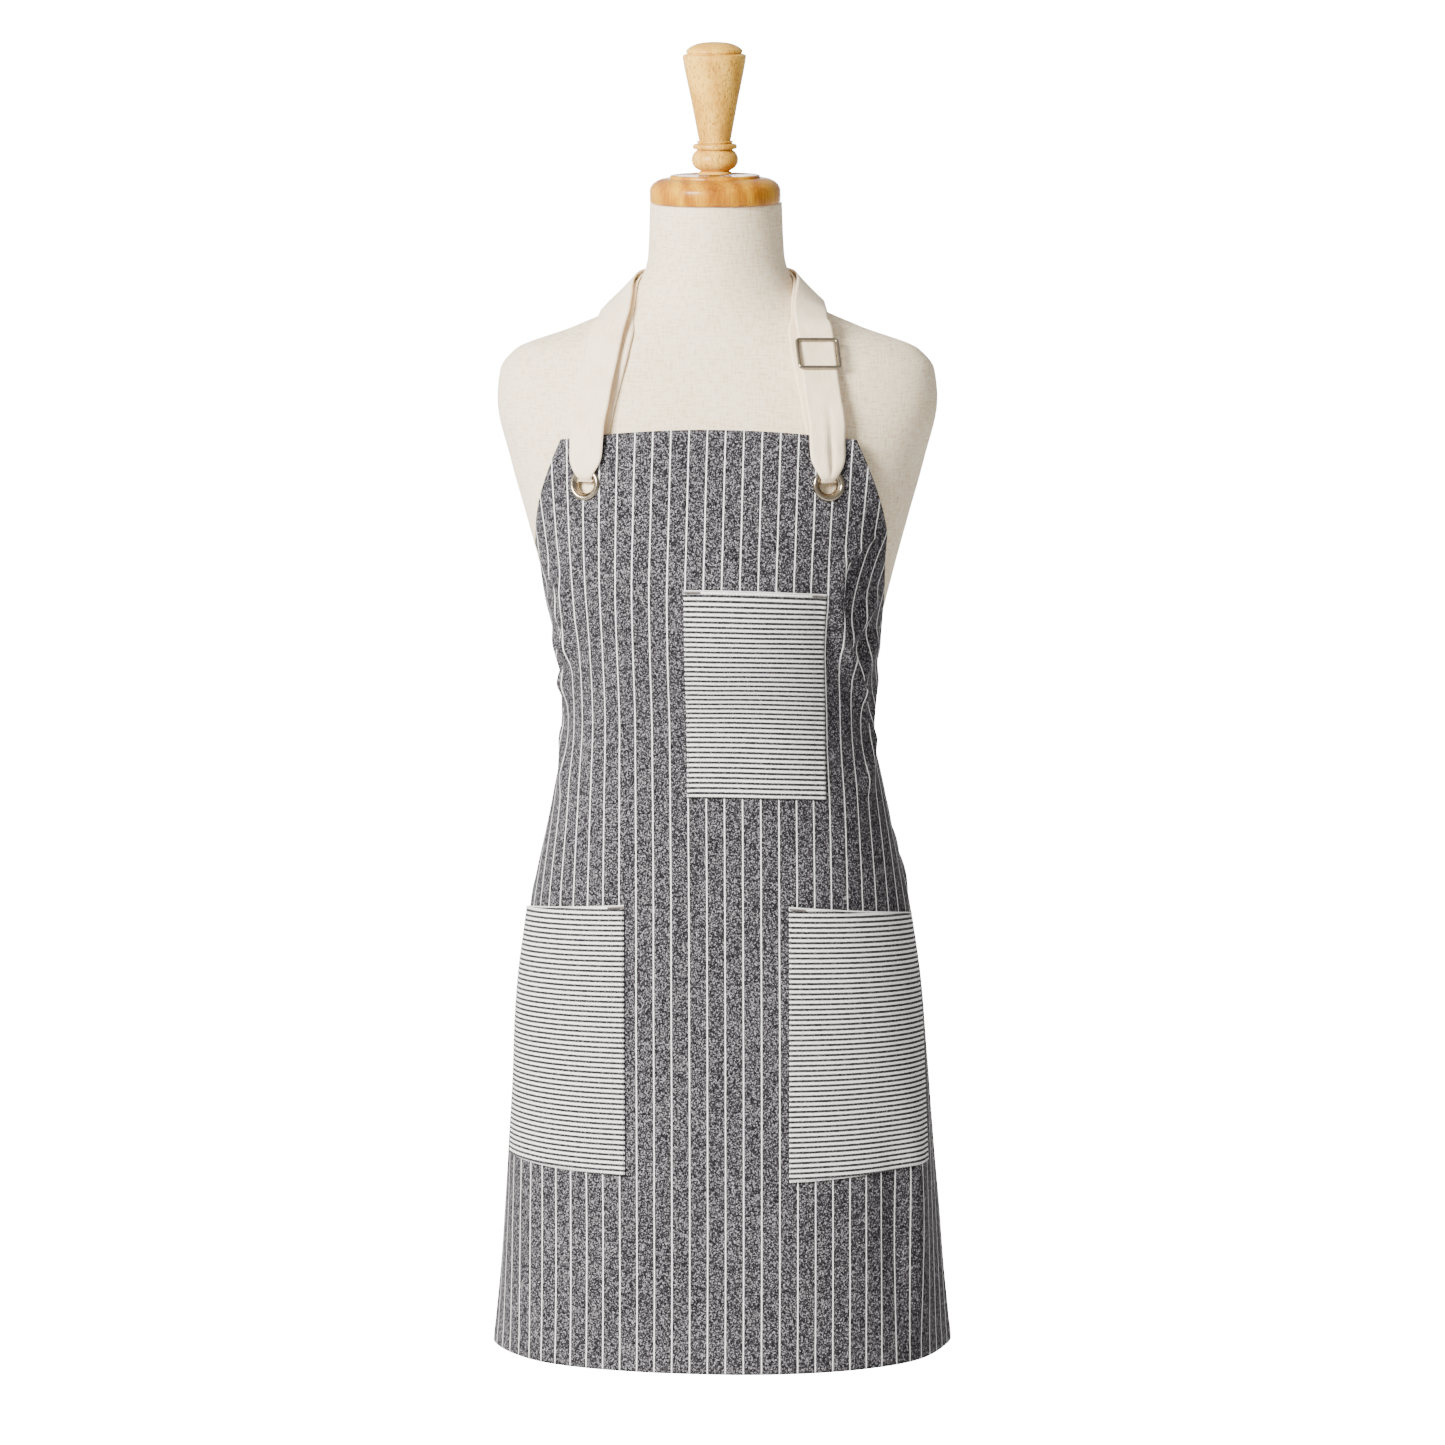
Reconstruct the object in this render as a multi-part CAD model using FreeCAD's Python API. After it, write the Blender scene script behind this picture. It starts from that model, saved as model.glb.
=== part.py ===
"""Kitchen apron on a headless dress form: one STEP file per physical piece, in millimetres.

+Z is up, the wearer's front faces -Y and the wearer's left is +X.
The origin is the centre of the pole socket's mouth, under the form.
"""
import FreeCAD, Part
import math
import os

from FreeCAD import Vector

os.makedirs("parts", exist_ok=True)

# ---- Driving dimensions -------------------------------------------------------------------
BASE_Z = 70.0            # underside of the form's base plate
NECK_TOP_Z = 878.0       # where the linen ends and the turned cap starts
COVER = 1.0              # linen cover, measured level
UNDER_COVER = 0.25       # room between the linen and the moulded shell
SHELL = 4.0              # moulded torso wall, measured level
PLATE = 18.0             # plywood base plate and neck block
NECK_AXIS_Y = -8.0       # the neck leans this far forward of the torso's middle

CLOTH = 1.2              # apron cloth with its backing and turned edges
BIB_TOP_Z = 687.0
HEM_Z = -152.0
STRAP_W = 32.0           # cotton neck strap
STRAP_T = 1.5
TIE_W = 25.0             # cotton waist ties
TIE_T = 1.5

POLE_BORE_R = 12.6       # slides on a 25 mm pole
SOCKET_R = 16.0
THREAD_R = 4.0           # M8, on the finial's stud and on the clamp screw
RUNNING = 0.05           # radial room between a thread and its hole
CLEAR = 0.3              # room between pieces that move past each other
SECTION_POINTS = 32      # points round each section of the torso and the apron

# Dress form: height, half width, depth in front and depth behind the middle plane.
FORM = [
    (878, 58.5, 62, 46), (832, 60.5, 60, 52), (806, 69, 62, 61), (788, 86, 66, 70),
    (768, 128, 71, 80), (748, 180, 79, 89), (730, 193.5, 87.5, 95), (705, 196, 98, 101),
    (650, 184, 116, 110), (600, 170, 131, 112), (545, 155, 144, 107), (490, 142, 132, 96),
    (420, 133.5, 99, 80), (340, 147, 103, 94), (250, 165.5, 108, 117), (160, 178.5, 109, 124),
    (70, 184, 107, 117)]

# Apron cloth, outer face: the same four measures. Below the form it hangs free.
APRON = [
    (705, 205, 108, 110), (650, 193, 125, 119), (600, 176, 137, 118), (545, 160, 149, 112),
    (490, 146, 139, 100), (420, 137.5, 117, 85), (350, 148.5, 112, 98), (250, 170, 113.5, 122),
    (160, 183, 115, 130), (70, 189, 118.5, 128), (-30, 195, 124, 128), (-152, 203.5, 135, 132)]

# Side view of the apron's free edge, as depth behind the middle plane at each height.
FREE_EDGE = [
    (690, -84), (672, -86), (640, -80), (585, -52), (535, 0), (490, 48), (450, 78), (425, 83.5),
    (395, 88), (330, 92), (250, 95), (120, 87), (0, 78), (-152, 70)]


# ---- Body surfaces ------------------------------------------------------------------------
def measures(rows, z):
    """Half width, front depth and back depth at height z, by monotone cubics between rows."""
    table = sorted(rows)
    z = min(max(z, table[0][0]), table[-1][0])
    steps = range(len(table) - 1)
    k = max(i for i in steps if z >= table[i][0])
    gaps = [table[i + 1][0] - table[i][0] for i in steps]
    t = (z - table[k][0]) / gaps[k]
    result = []
    for column in range(1, len(table[0])):
        value = [row[column] for row in table]
        rise = [(value[i + 1] - value[i]) / gaps[i] for i in steps]

        def slope(i):
            if i == 0:
                return rise[0]
            if i == len(rise):
                return rise[-1]
            if rise[i - 1] * rise[i] <= 0:
                return 0.0
            before = 2 * gaps[i] + gaps[i - 1]
            after = gaps[i] + 2 * gaps[i - 1]
            return (before + after) / (before / rise[i - 1] + after / rise[i])

        result.append((2 * t ** 3 - 3 * t ** 2 + 1) * value[k]
                      + (t ** 3 - 2 * t ** 2 + t) * gaps[k] * slope(k)
                      + (3 * t ** 2 - 2 * t ** 3) * value[k + 1]
                      + (t ** 3 - t ** 2) * gaps[k] * slope(k + 1))
    return result


def squareness(z):
    """Exponent of the section: boxier than an ellipse below, near to one from the shoulders up."""
    rise = min(1.0, max(0.0, (z - 680.0) / 80.0))
    return 2.25 - 0.3 * rise * rise * (3 - 2 * rise)


def section(rows, z, grow):
    """Closed wire round the body at height z, grown outward by grow."""
    half, front, back = [value + grow for value in measures(rows, z)]
    power = 2.0 / squareness(z)
    points = []
    for i in range(SECTION_POINTS):
        angle = 2 * math.pi * i / SECTION_POINTS
        c, s = math.cos(angle), math.sin(angle)
        depth = back if s > 0 else front
        points.append(Vector(half * math.copysign(abs(c) ** power, c),
                             depth * math.copysign(abs(s) ** power, s), z))
    curve = Part.BSplineCurve()
    curve.interpolate(points, PeriodicFlag=True)
    return Part.Wire([curve.toShape()])


def levels(low, high):
    """Heights of the sections between two levels, on one grid that is finer over the shoulders."""
    grid = list(range(-160, 740, 20)) + list(range(740, 881, 9))
    return [low] + [z for z in grid if low + 1 < z < high - 1] + [high]


def body(rows, low, high, grow):
    """Solid body between two heights. grow is a number or a function of height."""
    growth = grow if callable(grow) else (lambda z: grow)
    return Part.makeLoft([section(rows, z, growth(z)) for z in levels(low, high)], True, True)


def level(p):
    """Negative inside the form, zero on its surface and positive outside."""
    half, front, back = measures(FORM, p.z)
    power = squareness(p.z)
    return (abs(p.x) / half) ** power + (abs(p.y) / (back if p.y > 0 else front)) ** power - 1


def uphill(p):
    step = 0.1
    return Vector(*[(level(p + way * step) - level(p - way * step)) / (2 * step)
                    for way in (Vector(1, 0, 0), Vector(0, 1, 0), Vector(0, 0, 1))])


def skin(point, rise):
    """Nearest point of the form to a rough one, lifted by rise, and the outward direction."""
    p = Vector(*point)
    for _ in range(30):
        away = uphill(p)
        p = p - away * (level(p) / away.Length ** 2)
    away = uphill(p)
    away.normalize()
    return p + away * rise, away


# ---- Small helpers ------------------------------------------------------------------------
def rod(start, end, radius):
    axis = end - start
    return Part.makeCylinder(radius, axis.Length, start, axis)


def turned(profile, centre_y=0.0):
    """Solid of revolution about a vertical axis from (radius, height) corners on both sides."""
    points = [Vector(r, 0, z) for r, z in profile]
    wire = Part.makePolygon(points + [points[0]])
    solid = Part.Face(wire).revolve(Vector(0, 0, 0), Vector(0, 0, 1), 360)
    solid.translate(Vector(0, centre_y, 0))
    return solid


def wood_screw(seat, direction, length, shank_r):
    """Countersunk wood screw whose head lies flush at seat and which runs along direction."""
    head_r, head_t = 2 * shank_r, 1.2 * shank_r
    head = Part.makeCone(head_r, shank_r, head_t, seat, direction)
    return head.fuse(rod(seat + direction * head_t * 0.9, seat + direction * length, shank_r))


def ribbon(stations, thickness):
    """Flat strip through (centre, width direction, outward, width) stations, as one solid."""
    wires = []
    for centre, across, outward, width in stations:
        side = across * (width / 2)
        up = outward * (thickness / 2)
        corners = [centre - side - up, centre + side - up, centre + side + up, centre - side + up]
        wires.append(Part.makePolygon(corners + [corners[0]]))
    return Part.makeLoft(wires, True, True)


def along(centres, outwards, widths):
    """Stations of a strip: the width runs square to the path and to the outward direction."""
    stations = []
    for i, centre in enumerate(centres):
        ahead = centres[min(i + 1, len(centres) - 1)] - centres[max(i - 1, 0)]
        across = ahead.cross(outwards[i])
        across.normalize()
        outward = across.cross(ahead)
        outward.normalize()
        stations.append((centre, across, outward, widths[i]))
    return stations


def mirrored(vector):
    return Vector(-vector.x, vector.y, vector.z)


def both_sides(shape):
    other = shape.mirror(Vector(0, 0, 0), Vector(1, 0, 0))
    return shape, other


def write(node, *shapes):
    solids = [solid for shape in shapes for solid in shape.Solids]
    shape = solids[0] if len(solids) == 1 else Part.makeCompound(solids)
    shape.exportStep(f"parts/{node}.step")
    bad = [i for i, solid in enumerate(solids) if not solid.isValid()]
    print(f"{node:22s} solids {len(solids)} volume {shape.Volume:12.1f} invalid {bad}")
    return shape


# ---- Dress form ---------------------------------------------------------------------------
EDGE_SCREW = (30.0, 1.8)     # length and shank radius
CAP_SCREW = (32.0, 2.0)
CAP_SCREW_X = 32.0
BLOCK_HOLE_R = 6.0


def form_pieces():
    skin_solid = body(FORM, BASE_Z, NECK_TOP_Z, 0.0)
    under_cover = body(FORM, BASE_Z - 1, NECK_TOP_Z + 1, -COVER)
    shell_skin = COVER + UNDER_COVER
    shell_outside = body(FORM, BASE_Z, NECK_TOP_Z, -shell_skin)
    hollow = body(FORM, BASE_Z - 1, NECK_TOP_Z + 1, -shell_skin - SHELL)
    cover = skin_solid.cut(under_cover)
    shell = shell_outside.cut(hollow)

    fit_inside = -shell_skin - SHELL - CLEAR
    plate = body(FORM, BASE_Z, BASE_Z + PLATE, fit_inside)
    block = body(FORM, NECK_TOP_Z - PLATE, NECK_TOP_Z, fit_inside)

    edge_screws = []
    middle_z = BASE_Z + PLATE / 2
    half, front, back = measures(FORM, middle_z)
    sunk = shell_skin + CLEAR
    for seat, inward in ((Vector(half - sunk, 0, middle_z), Vector(-1, 0, 0)),
                         (Vector(sunk - half, 0, middle_z), Vector(1, 0, 0)),
                         (Vector(0, back - sunk, middle_z), Vector(0, -1, 0)),
                         (Vector(0, sunk - front, middle_z), Vector(0, 1, 0))):
        screw = wood_screw(seat, inward, *EDGE_SCREW)
        shell = shell.cut(screw)
        plate = plate.cut(screw)
        edge_screws.append(screw)

    cap_screws = []
    for x in (-CAP_SCREW_X, CAP_SCREW_X):
        seat = Vector(x, NECK_AXIS_Y, NECK_TOP_Z - PLATE)
        cap_screws.append(wood_screw(seat, Vector(0, 0, 1), *CAP_SCREW))
        block = block.cut(cap_screws[-1])
    block_low = Vector(0, NECK_AXIS_Y, NECK_TOP_Z - PLATE)
    block = block.cut(rod(block_low, block_low + Vector(0, 0, PLATE), BLOCK_HOLE_R))
    return cover, shell, plate, block, edge_screws, cap_screws


# ---- Turned neck cap and finial -------------------------------------------------------------
CAP_R = 59.0
CAP_SIDE = 12.0          # height of the cap's upright side
CAP_H = 25.0
CAP_STEP_R = 40.0
FINIAL_TOP_Z = 1020.0
INSERT_R = 6.0
INSERT_H = 14.0
STUD_L = 48.0
STUD_IN_CAP = 16.0


def neck_cap(screws):
    low, top = NECK_TOP_Z, NECK_TOP_Z + CAP_H
    shoulder = []
    for i in range(13):
        angle = math.radians(90 * i / 12)
        shoulder.append((CAP_STEP_R + 1 + (CAP_R - CAP_STEP_R - 1) * math.cos(angle),
                         low + CAP_SIDE + (CAP_H - CAP_SIDE - 4) * math.sin(angle)))
    profile = [(INSERT_R, low), (CAP_R - 2, low), (CAP_R, low + 2)] + shoulder
    profile += [(CAP_STEP_R, top - 3), (CAP_STEP_R, top - 1), (CAP_STEP_R - 1, top), (INSERT_R, top)]
    cap = turned(profile, NECK_AXIS_Y)
    for screw in screws:
        cap = cap.cut(screw)
    return cap


def finial_insert():
    top = NECK_TOP_Z + CAP_H
    hole = THREAD_R + RUNNING
    return turned([(hole, top - INSERT_H), (INSERT_R, top - INSERT_H), (INSERT_R, top), (hole, top)],
                  NECK_AXIS_Y)


def finial():
    """Narrow foot, ball, ring, long flared body, bead and low domed top."""
    foot = NECK_TOP_Z + CAP_H + CLEAR
    hole = THREAD_R + RUNNING
    profile = [(hole, foot), (15, foot), (15.5, foot + 1.5), (13, foot + 3)]
    ball_z, ball_r, ball_half = foot + 12.5, 22.5, 9.5
    for i in range(13):
        angle = math.radians(-68 + 136 * i / 12)
        profile.append((ball_r * math.cos(angle) ** 0.75, ball_z + ball_half * math.sin(angle)))
    ring = [(14.5, 22.5), (18, 23.5), (19, 25), (18, 26.5), (14.8, 27.5)]
    flare = [(15.5, 29), (18.5, 45), (22.5, 65), (26.5, 83), (29, 94), (29.5, 99), (28.5, 103)]
    bead = [(26, 105.5), (26.8, 107), (27.5, 108.5), (26.5, 110.5)]
    dome = [(21, 113.5), (13, 115.8)]
    profile += [(radius, foot + rise) for radius, rise in ring + flare + bead + dome]
    profile += [(0, FINIAL_TOP_Z), (0, foot + 35), (hole, foot + 34)]
    return turned(profile, NECK_AXIS_Y)


def finial_stud():
    low = Vector(0, NECK_AXIS_Y, NECK_TOP_Z + CAP_H - STUD_IN_CAP)
    return rod(low, low + Vector(0, 0, STUD_L), THREAD_R)


# ---- Pole socket and clamp -------------------------------------------------------------------
FLANGE_R = 45.0
FLANGE_T = 4.0
CLAMP_Z = 28.0
BOSS_END = 26.0          # from the pole's axis to the face of the clamp screw's boss
KNOB_Y = 40.0
KNOB_T = 14.0
KNOB_HOLE = 11.5         # depth of the knob's threaded hole
SCREW_IN_KNOB = 11.0
FLANGE_SCREW = (18.0, 2.0)
FLANGE_SCREW_AT = 33.0


def pole_socket():
    """Steel tube with the clamp screw's boss on it."""
    tube = rod(Vector(0, 0, 0), Vector(0, 0, BASE_Z), SOCKET_R)
    boss = rod(Vector(0, SOCKET_R - 3, CLAMP_Z), Vector(0, BOSS_END, CLAMP_Z), 9.0)
    socket = tube.fuse(boss).removeSplitter()
    socket = socket.cut(rod(Vector(0, 0, -1), Vector(0, 0, BASE_Z + 1), POLE_BORE_R))
    return socket.cut(rod(Vector(0, 0, CLAMP_Z), Vector(0, BOSS_END + 1, CLAMP_Z), THREAD_R + RUNNING))


def socket_flange(screws):
    """Round plate welded on the tube's top and screwed up into the base plate."""
    flange = Part.makeCylinder(FLANGE_R, FLANGE_T, Vector(0, 0, BASE_Z - FLANGE_T))
    flange = flange.cut(rod(Vector(0, 0, 0), Vector(0, 0, BASE_Z + 1), SOCKET_R + RUNNING))
    for screw in screws:
        flange = flange.cut(screw)
    return flange


def socket_screws():
    screws = []
    for i in range(4):
        angle = math.radians(45 + 90 * i)
        seat = Vector(FLANGE_SCREW_AT * math.cos(angle), FLANGE_SCREW_AT * math.sin(angle), BASE_Z - FLANGE_T)
        screws.append(wood_screw(seat, Vector(0, 0, 1), *FLANGE_SCREW))
    return screws


def clamp_screw():
    return rod(Vector(0, POLE_BORE_R + 0.8, CLAMP_Z), Vector(0, KNOB_Y + SCREW_IN_KNOB, CLAMP_Z), THREAD_R)


def clamp_knob():
    knob = rod(Vector(0, KNOB_Y, CLAMP_Z), Vector(0, KNOB_Y + KNOB_T, CLAMP_Z), 15.0)
    for i in range(5):
        angle = 2 * math.pi * i / 5
        lobe = Vector(12.5 * math.cos(angle), 0, CLAMP_Z + 12.5 * math.sin(angle))
        knob = knob.fuse(rod(lobe + Vector(0, KNOB_Y, 0), lobe + Vector(0, KNOB_Y + KNOB_T, 0), 6.0))
    hole = rod(Vector(0, KNOB_Y - 1, CLAMP_Z), Vector(0, KNOB_Y + KNOB_HOLE, CLAMP_Z), THREAD_R + RUNNING)
    return knob.removeSplitter().cut(hole)


# ---- Apron cloth --------------------------------------------------------------------------------
GROMMET = (107.0, 639.0)     # across and up, on the bib's face
EYELET_HOLE_R = 8.0
EYELET_R = 14.5


def side_prism(edge):
    """Everything in front of the free edge, as a prism across the whole width."""
    curve = Part.BSplineCurve()
    curve.interpolate([Vector(0, y, z) for z, y in edge])
    top, bottom = edge[0], edge[-1]
    front = -400.0
    corners = [Vector(0, bottom[1], bottom[0]), Vector(0, front, bottom[0]),
               Vector(0, front, top[0]), Vector(0, top[1], top[0])]
    wire = Part.Wire([curve.toShape(), *Part.makePolygon(corners).Edges])
    return Part.Face(wire).extrude(Vector(600, 0, 0)).translated(Vector(-300, 0, 0))


def bib_frame():
    """Centre of the right eyelet on the bib's outer face, and the face's outward direction."""
    def face(x, z):
        half, front, _ = measures(APRON, z)
        power = squareness(z)
        return Vector(x, -front * (1 - (x / half) ** power) ** (1 / power), z)
    x, z = GROMMET
    centre = face(x, z)
    outward = (face(x, z + 5) - face(x, z - 5)).cross(face(x - 5, z) - face(x + 5, z))
    outward.normalize()
    return centre, outward if outward.y < 0 else outward * -1


def apron_panel():
    outside = body(APRON, HEM_Z, 705, 0.0)
    inside = body(APRON, HEM_Z - 1, 706, -CLOTH)
    height = Part.makeBox(600, 600, BIB_TOP_Z - HEM_Z, Vector(-300, -400, HEM_Z))
    panel = outside.cut(inside).common(side_prism(FREE_EDGE).common(height))
    centre, outward = bib_frame()
    hole = rod(centre - outward * 8, centre + outward * 8, EYELET_HOLE_R + 1.0)
    for cutter in both_sides(hole):
        panel = panel.cut(cutter)
    return panel


def grommet():
    """Eyelet with its rolled flange in front, and the washer it is set against behind."""
    centre, outward = bib_frame()
    flange_t, washer_t = 1.2, 1.0
    tube_r = EYELET_HOLE_R + 0.9
    seat = CLOTH + 0.9           # the flat washer meets the curved cloth at its rim
    back = centre - outward * (seat + washer_t + 0.3)
    eyelet = rod(back, centre + outward * 0.1, tube_r)
    eyelet = eyelet.fuse(rod(centre + outward * 0.1, centre + outward * flange_t, EYELET_R))
    eyelet = eyelet.cut(rod(back - outward, centre + outward * 3, EYELET_HOLE_R))
    washer = rod(centre - outward * seat, centre - outward * (seat + washer_t), EYELET_R - 1)
    washer = washer.cut(rod(centre + outward, centre - outward * 5, tube_r))
    return eyelet, washer


# ---- Pockets ------------------------------------------------------------------------------------
POCKET_T = 1.2
SEAM = 2.0               # width of a pocket's sewn edge
SIT = 0.4                # pocket edge to apron cloth

CHEST = {"low": 359.0, "high": 549.0, "gape": 9.0}
CHEST_X = (-17.0, 105.0)
HIP = {"low": 19.0, "high": 264.0, "gape": 10.0}
HIP_X = 70.0             # inner edge, from the middle
HIP_BACK_Y = 36.0        # outer edge, behind the middle plane


def pocket(shape, window, inner_window):
    """Cloth tray open at the top: front wall, sewn side edges and bottom edge."""
    low, high, gape = shape["low"], shape["high"], shape["gape"]

    def room(z):
        rise = min(1.0, max(0.0, (z - low) / (high - low)))
        return 1.5 + (gape - 1.5) * rise ** 0.6

    outer = body(APRON, low, high, lambda z: room(z) + POCKET_T)
    outer = outer.cut(body(APRON, low - 1, high + 1, SIT)).common(window)
    cavity = body(APRON, low + SEAM, high + 2, room).common(inner_window)
    return outer.cut(cavity)


def chest_pocket():
    left, right = CHEST_X
    window = Part.makeBox(right - left, 300, 800, Vector(left, -300, 0))
    inner = Part.makeBox(right - left - 2 * SEAM, 300, 800, Vector(left + SEAM, -300, 0))
    return pocket(CHEST, window, inner)


def hip_pocket():
    window = Part.makeBox(300, 300 + HIP_BACK_Y, 800, Vector(HIP_X, -300, -200))
    inner = Part.makeBox(300, 300 + HIP_BACK_Y - SEAM, 800, Vector(HIP_X + SEAM, -300, -200))
    return pocket(HIP, window, inner)


def bartacks():
    """Short dense stitches at the pockets' upper corners, lying on the pocket cloth."""
    tacks = []
    length, height, thickness = 14.0, 3.5, 0.8
    for shape, x, sign in ((CHEST, CHEST_X[0] + 9, 1), (CHEST, CHEST_X[1] - 9, 1),
                           (HIP, HIP_X + 9, 1), (HIP, HIP_X + 9, -1)):
        z = shape["high"] - 6
        rise = shape["gape"] + POCKET_T + 0.3
        outer = body(APRON, z, z + height, rise + thickness)
        slab = outer.cut(body(APRON, z - 1, z + height + 1, rise))
        tack = slab.common(Part.makeBox(length, 300, height, Vector(x - length / 2, -300, z)))
        if sign < 0:
            tack = tack.mirror(Vector(0, 0, 0), Vector(1, 0, 0))
        tacks.append(tack)
    return tacks


# ---- Neck strap and its slider --------------------------------------------------------------------
STRAIGHT_LOW = (97.5, -82, 722)         # ends of the straight stretch that the slider runs on
STRAIGHT_HIGH = (89, -55, 766)
STRAIGHT_RISE = (10.0, 9.5)              # height of the strap's middle over the form at those ends
SHOULDER = [(84, -45, 780), (79, -29, 789), (74, -14, 796), (69, 0, 800), (63, 12, 804), (56, 24, 806),
            (48, 34, 806), (38, 44, 805), (27, 52, 804), (14, 58, 803), (0, 61, 802)]
BACK_GAP = 0.9                           # form to the strap's back layer
FRONT_GAP = 3.2                          # form to its front layer
SLIDER_AT = 0.52                         # rest place, as a share of the straight stretch
SLIDER_W = 40.0
SLIDER_L = 30.0
SLIDER_BAR = 3.0
SLIDER_T = 2.0


def straight_stretch():
    low, outward_low = skin(STRAIGHT_LOW, STRAIGHT_RISE[0])
    high, outward_high = skin(STRAIGHT_HIGH, STRAIGHT_RISE[1])
    outward = outward_low + outward_high
    ahead = high - low
    ahead.normalize()
    outward = outward - ahead * outward.dot(ahead)
    outward.normalize()
    return low, high, ahead, outward


def settle(stations, gap, first):
    """Lifts each station from the first one on until both its edges clear the form by gap."""
    result = stations[:first]
    for centre, across, outward, width in stations[first:]:
        for _ in range(4):
            edges = [centre + across * (share * width / 2) - outward * (STRAP_T / 2)
                     for share in (-1, -0.5, 0, 0.5, 1)]
            centre = centre + outward * (gap - min(level(p) / uphill(p).Length for p in edges))
        result.append((centre, across, outward, width))
    return result


def whole_loop(stations):
    """Adds the mirrored half of a run that ends at the middle of the neck."""
    other = [(mirrored(c), mirrored(a) * -1, mirrored(n), w) for c, a, n, w in reversed(stations[:-1])]
    return stations + other


def neck_strap():
    """One strap: a front layer and a back layer over the neck, joined through each eyelet."""
    low, high, _, outward = straight_stretch()
    eye, face = bib_frame()
    front = eye + face * (1.2 + CLEAR + STRAP_T / 2)
    up_bib = Vector(0, 0, 1) - face * face.z
    up_bib.normalize()
    over_hem, hem_outward = skin((103.5, -97, BIB_TOP_Z + 3), 12.2)
    above_hem, above_outward = skin((100.5, -90, BIB_TOP_Z + 19), 11.0)
    half_widths = [13.0, 22.0]

    shoulder = [skin(point, FRONT_GAP) for point in SHOULDER]
    centres = [front - up_bib * 3, front + up_bib * 10, front + up_bib * 22]
    centres += [over_hem, above_hem, low, high]
    outwards = [face, face, face, hem_outward, above_outward, outward, outward]
    straight_end = len(centres)
    centres += [centre for centre, _ in shoulder]
    outwards += [away for _, away in shoulder]
    widths = half_widths + [STRAP_W] * (len(centres) - len(half_widths))
    stations = settle(along(centres, outwards, widths), FRONT_GAP, straight_end)
    outer = ribbon(whole_loop(stations), STRAP_T)

    run = [(107, -98, 636), (106.5, -95, 649), (106, -92, 661), (105, -90, 676), (103.5, -88, 690),
           (101, -84, 706), (98, -80, 722), (95, -75, 736), (92.5, -70, 748), (90, -64, 759),
           (87.5, -57, 768)] + SHOULDER
    behind = [skin(point, BACK_GAP) for point in run]
    widths = half_widths + [STRAP_W] * (len(run) - len(half_widths))
    stations = along([centre for centre, _ in behind], [away for _, away in behind], widths)
    stations = settle(stations, BACK_GAP, 0)
    inner = ribbon(whole_loop(stations), STRAP_T)

    across = face.cross(up_bib)
    ends = []
    for place in (stations[0][0], front):
        corners = [place + across * side * 4 + up_bib * rise * 1.8
                   for side, rise in ((-1, -1), (1, -1), (1, 1), (-1, 1))]
        ends.append(Part.makePolygon(corners + [corners[0]]))
    through = Part.makeLoft(ends, True, True)
    return outer.fuse([inner, *both_sides(through)]).removeSplitter()


def strap_slider():
    """Flat frame in front of the strap, with its middle bar cranked behind the strap."""
    low, high, ahead, outward = straight_stretch()
    centre = low + (high - low) * SLIDER_AT
    across = ahead.cross(outward)

    def block(u0, u1, v0, v1, n0, n1):
        box = Part.makeBox(u1 - u0, v1 - v0, n1 - n0, Vector(u0, v0, n0))
        place = FreeCAD.Matrix(across.x, ahead.x, outward.x, centre.x,
                               across.y, ahead.y, outward.y, centre.y,
                               across.z, ahead.z, outward.z, centre.z, 0, 0, 0, 1)
        return box, place

    face = STRAP_T / 2 + CLEAR
    half_w, half_l = SLIDER_W / 2, SLIDER_L / 2
    frame, place = block(-half_w, half_w, -half_l, half_l, face, face + SLIDER_T)
    frame = frame.makeFillet(3.0, [e for e in frame.Edges if abs(e.tangentAt(0).z) > 0.9])
    window = block(-half_w + SLIDER_BAR, half_w - SLIDER_BAR, -half_l + SLIDER_BAR,
                   half_l - SLIDER_BAR, face - 1, face + 5)[0]
    frame = frame.cut(window)
    post_in = STRAP_W / 2 + 2 * CLEAR
    for sign in (-1, 1):
        u = sorted((sign * post_in, sign * half_w))
        frame = frame.fuse(block(u[0], u[1], -SLIDER_BAR / 2, SLIDER_BAR / 2,
                                 -face - SLIDER_T, face + SLIDER_T / 2)[0])
    bar = block(-half_w, half_w, -SLIDER_BAR / 2, SLIDER_BAR / 2, -face - SLIDER_T, -face)[0]
    frame = frame.fuse(bar).removeSplitter()
    frame.transformShape(place)
    return frame


# ---- Waist ties ------------------------------------------------------------------------------------
KNOT = Vector(0, 97, 428)


def tie_runs():
    """Wearer's left tie: the span from the apron's corner, the bow's loop and the hanging tail."""
    half, _, back = measures(APRON, KNOT.z)
    power = squareness(KNOT.z)
    span = []
    for x in (66, 54, 42, 30, 20):
        span.append(Vector(x, back * (1 - (x / half) ** power) ** (1 / power) + 3.0, KNOT.z))
    span.append(Vector(11.5, 91, KNOT.z))
    loop = [Vector(x, y, KNOT.z + dz) for x, y, dz in
            ((12, 95, 4), (40, 91, 6), (75, 92, -4), (108, 96, -22), (124, 101, -32), (130, 106, -36),
             (124, 111, -34), (108, 113, -24), (75, 110, -6), (40, 105, 4), (12, 100, 4))]
    tail = [Vector(x, y, KNOT.z + dz) for x, y, dz in
            ((9, 99, -14), (13, 103, -40), (18, 106, -75), (22, 110, -105), (25, 117, -140),
             (27, 125, -180), (28, 129.5, -220), (28, 132, -260), (28, 133, -300))]
    return span, loop, tail


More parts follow.
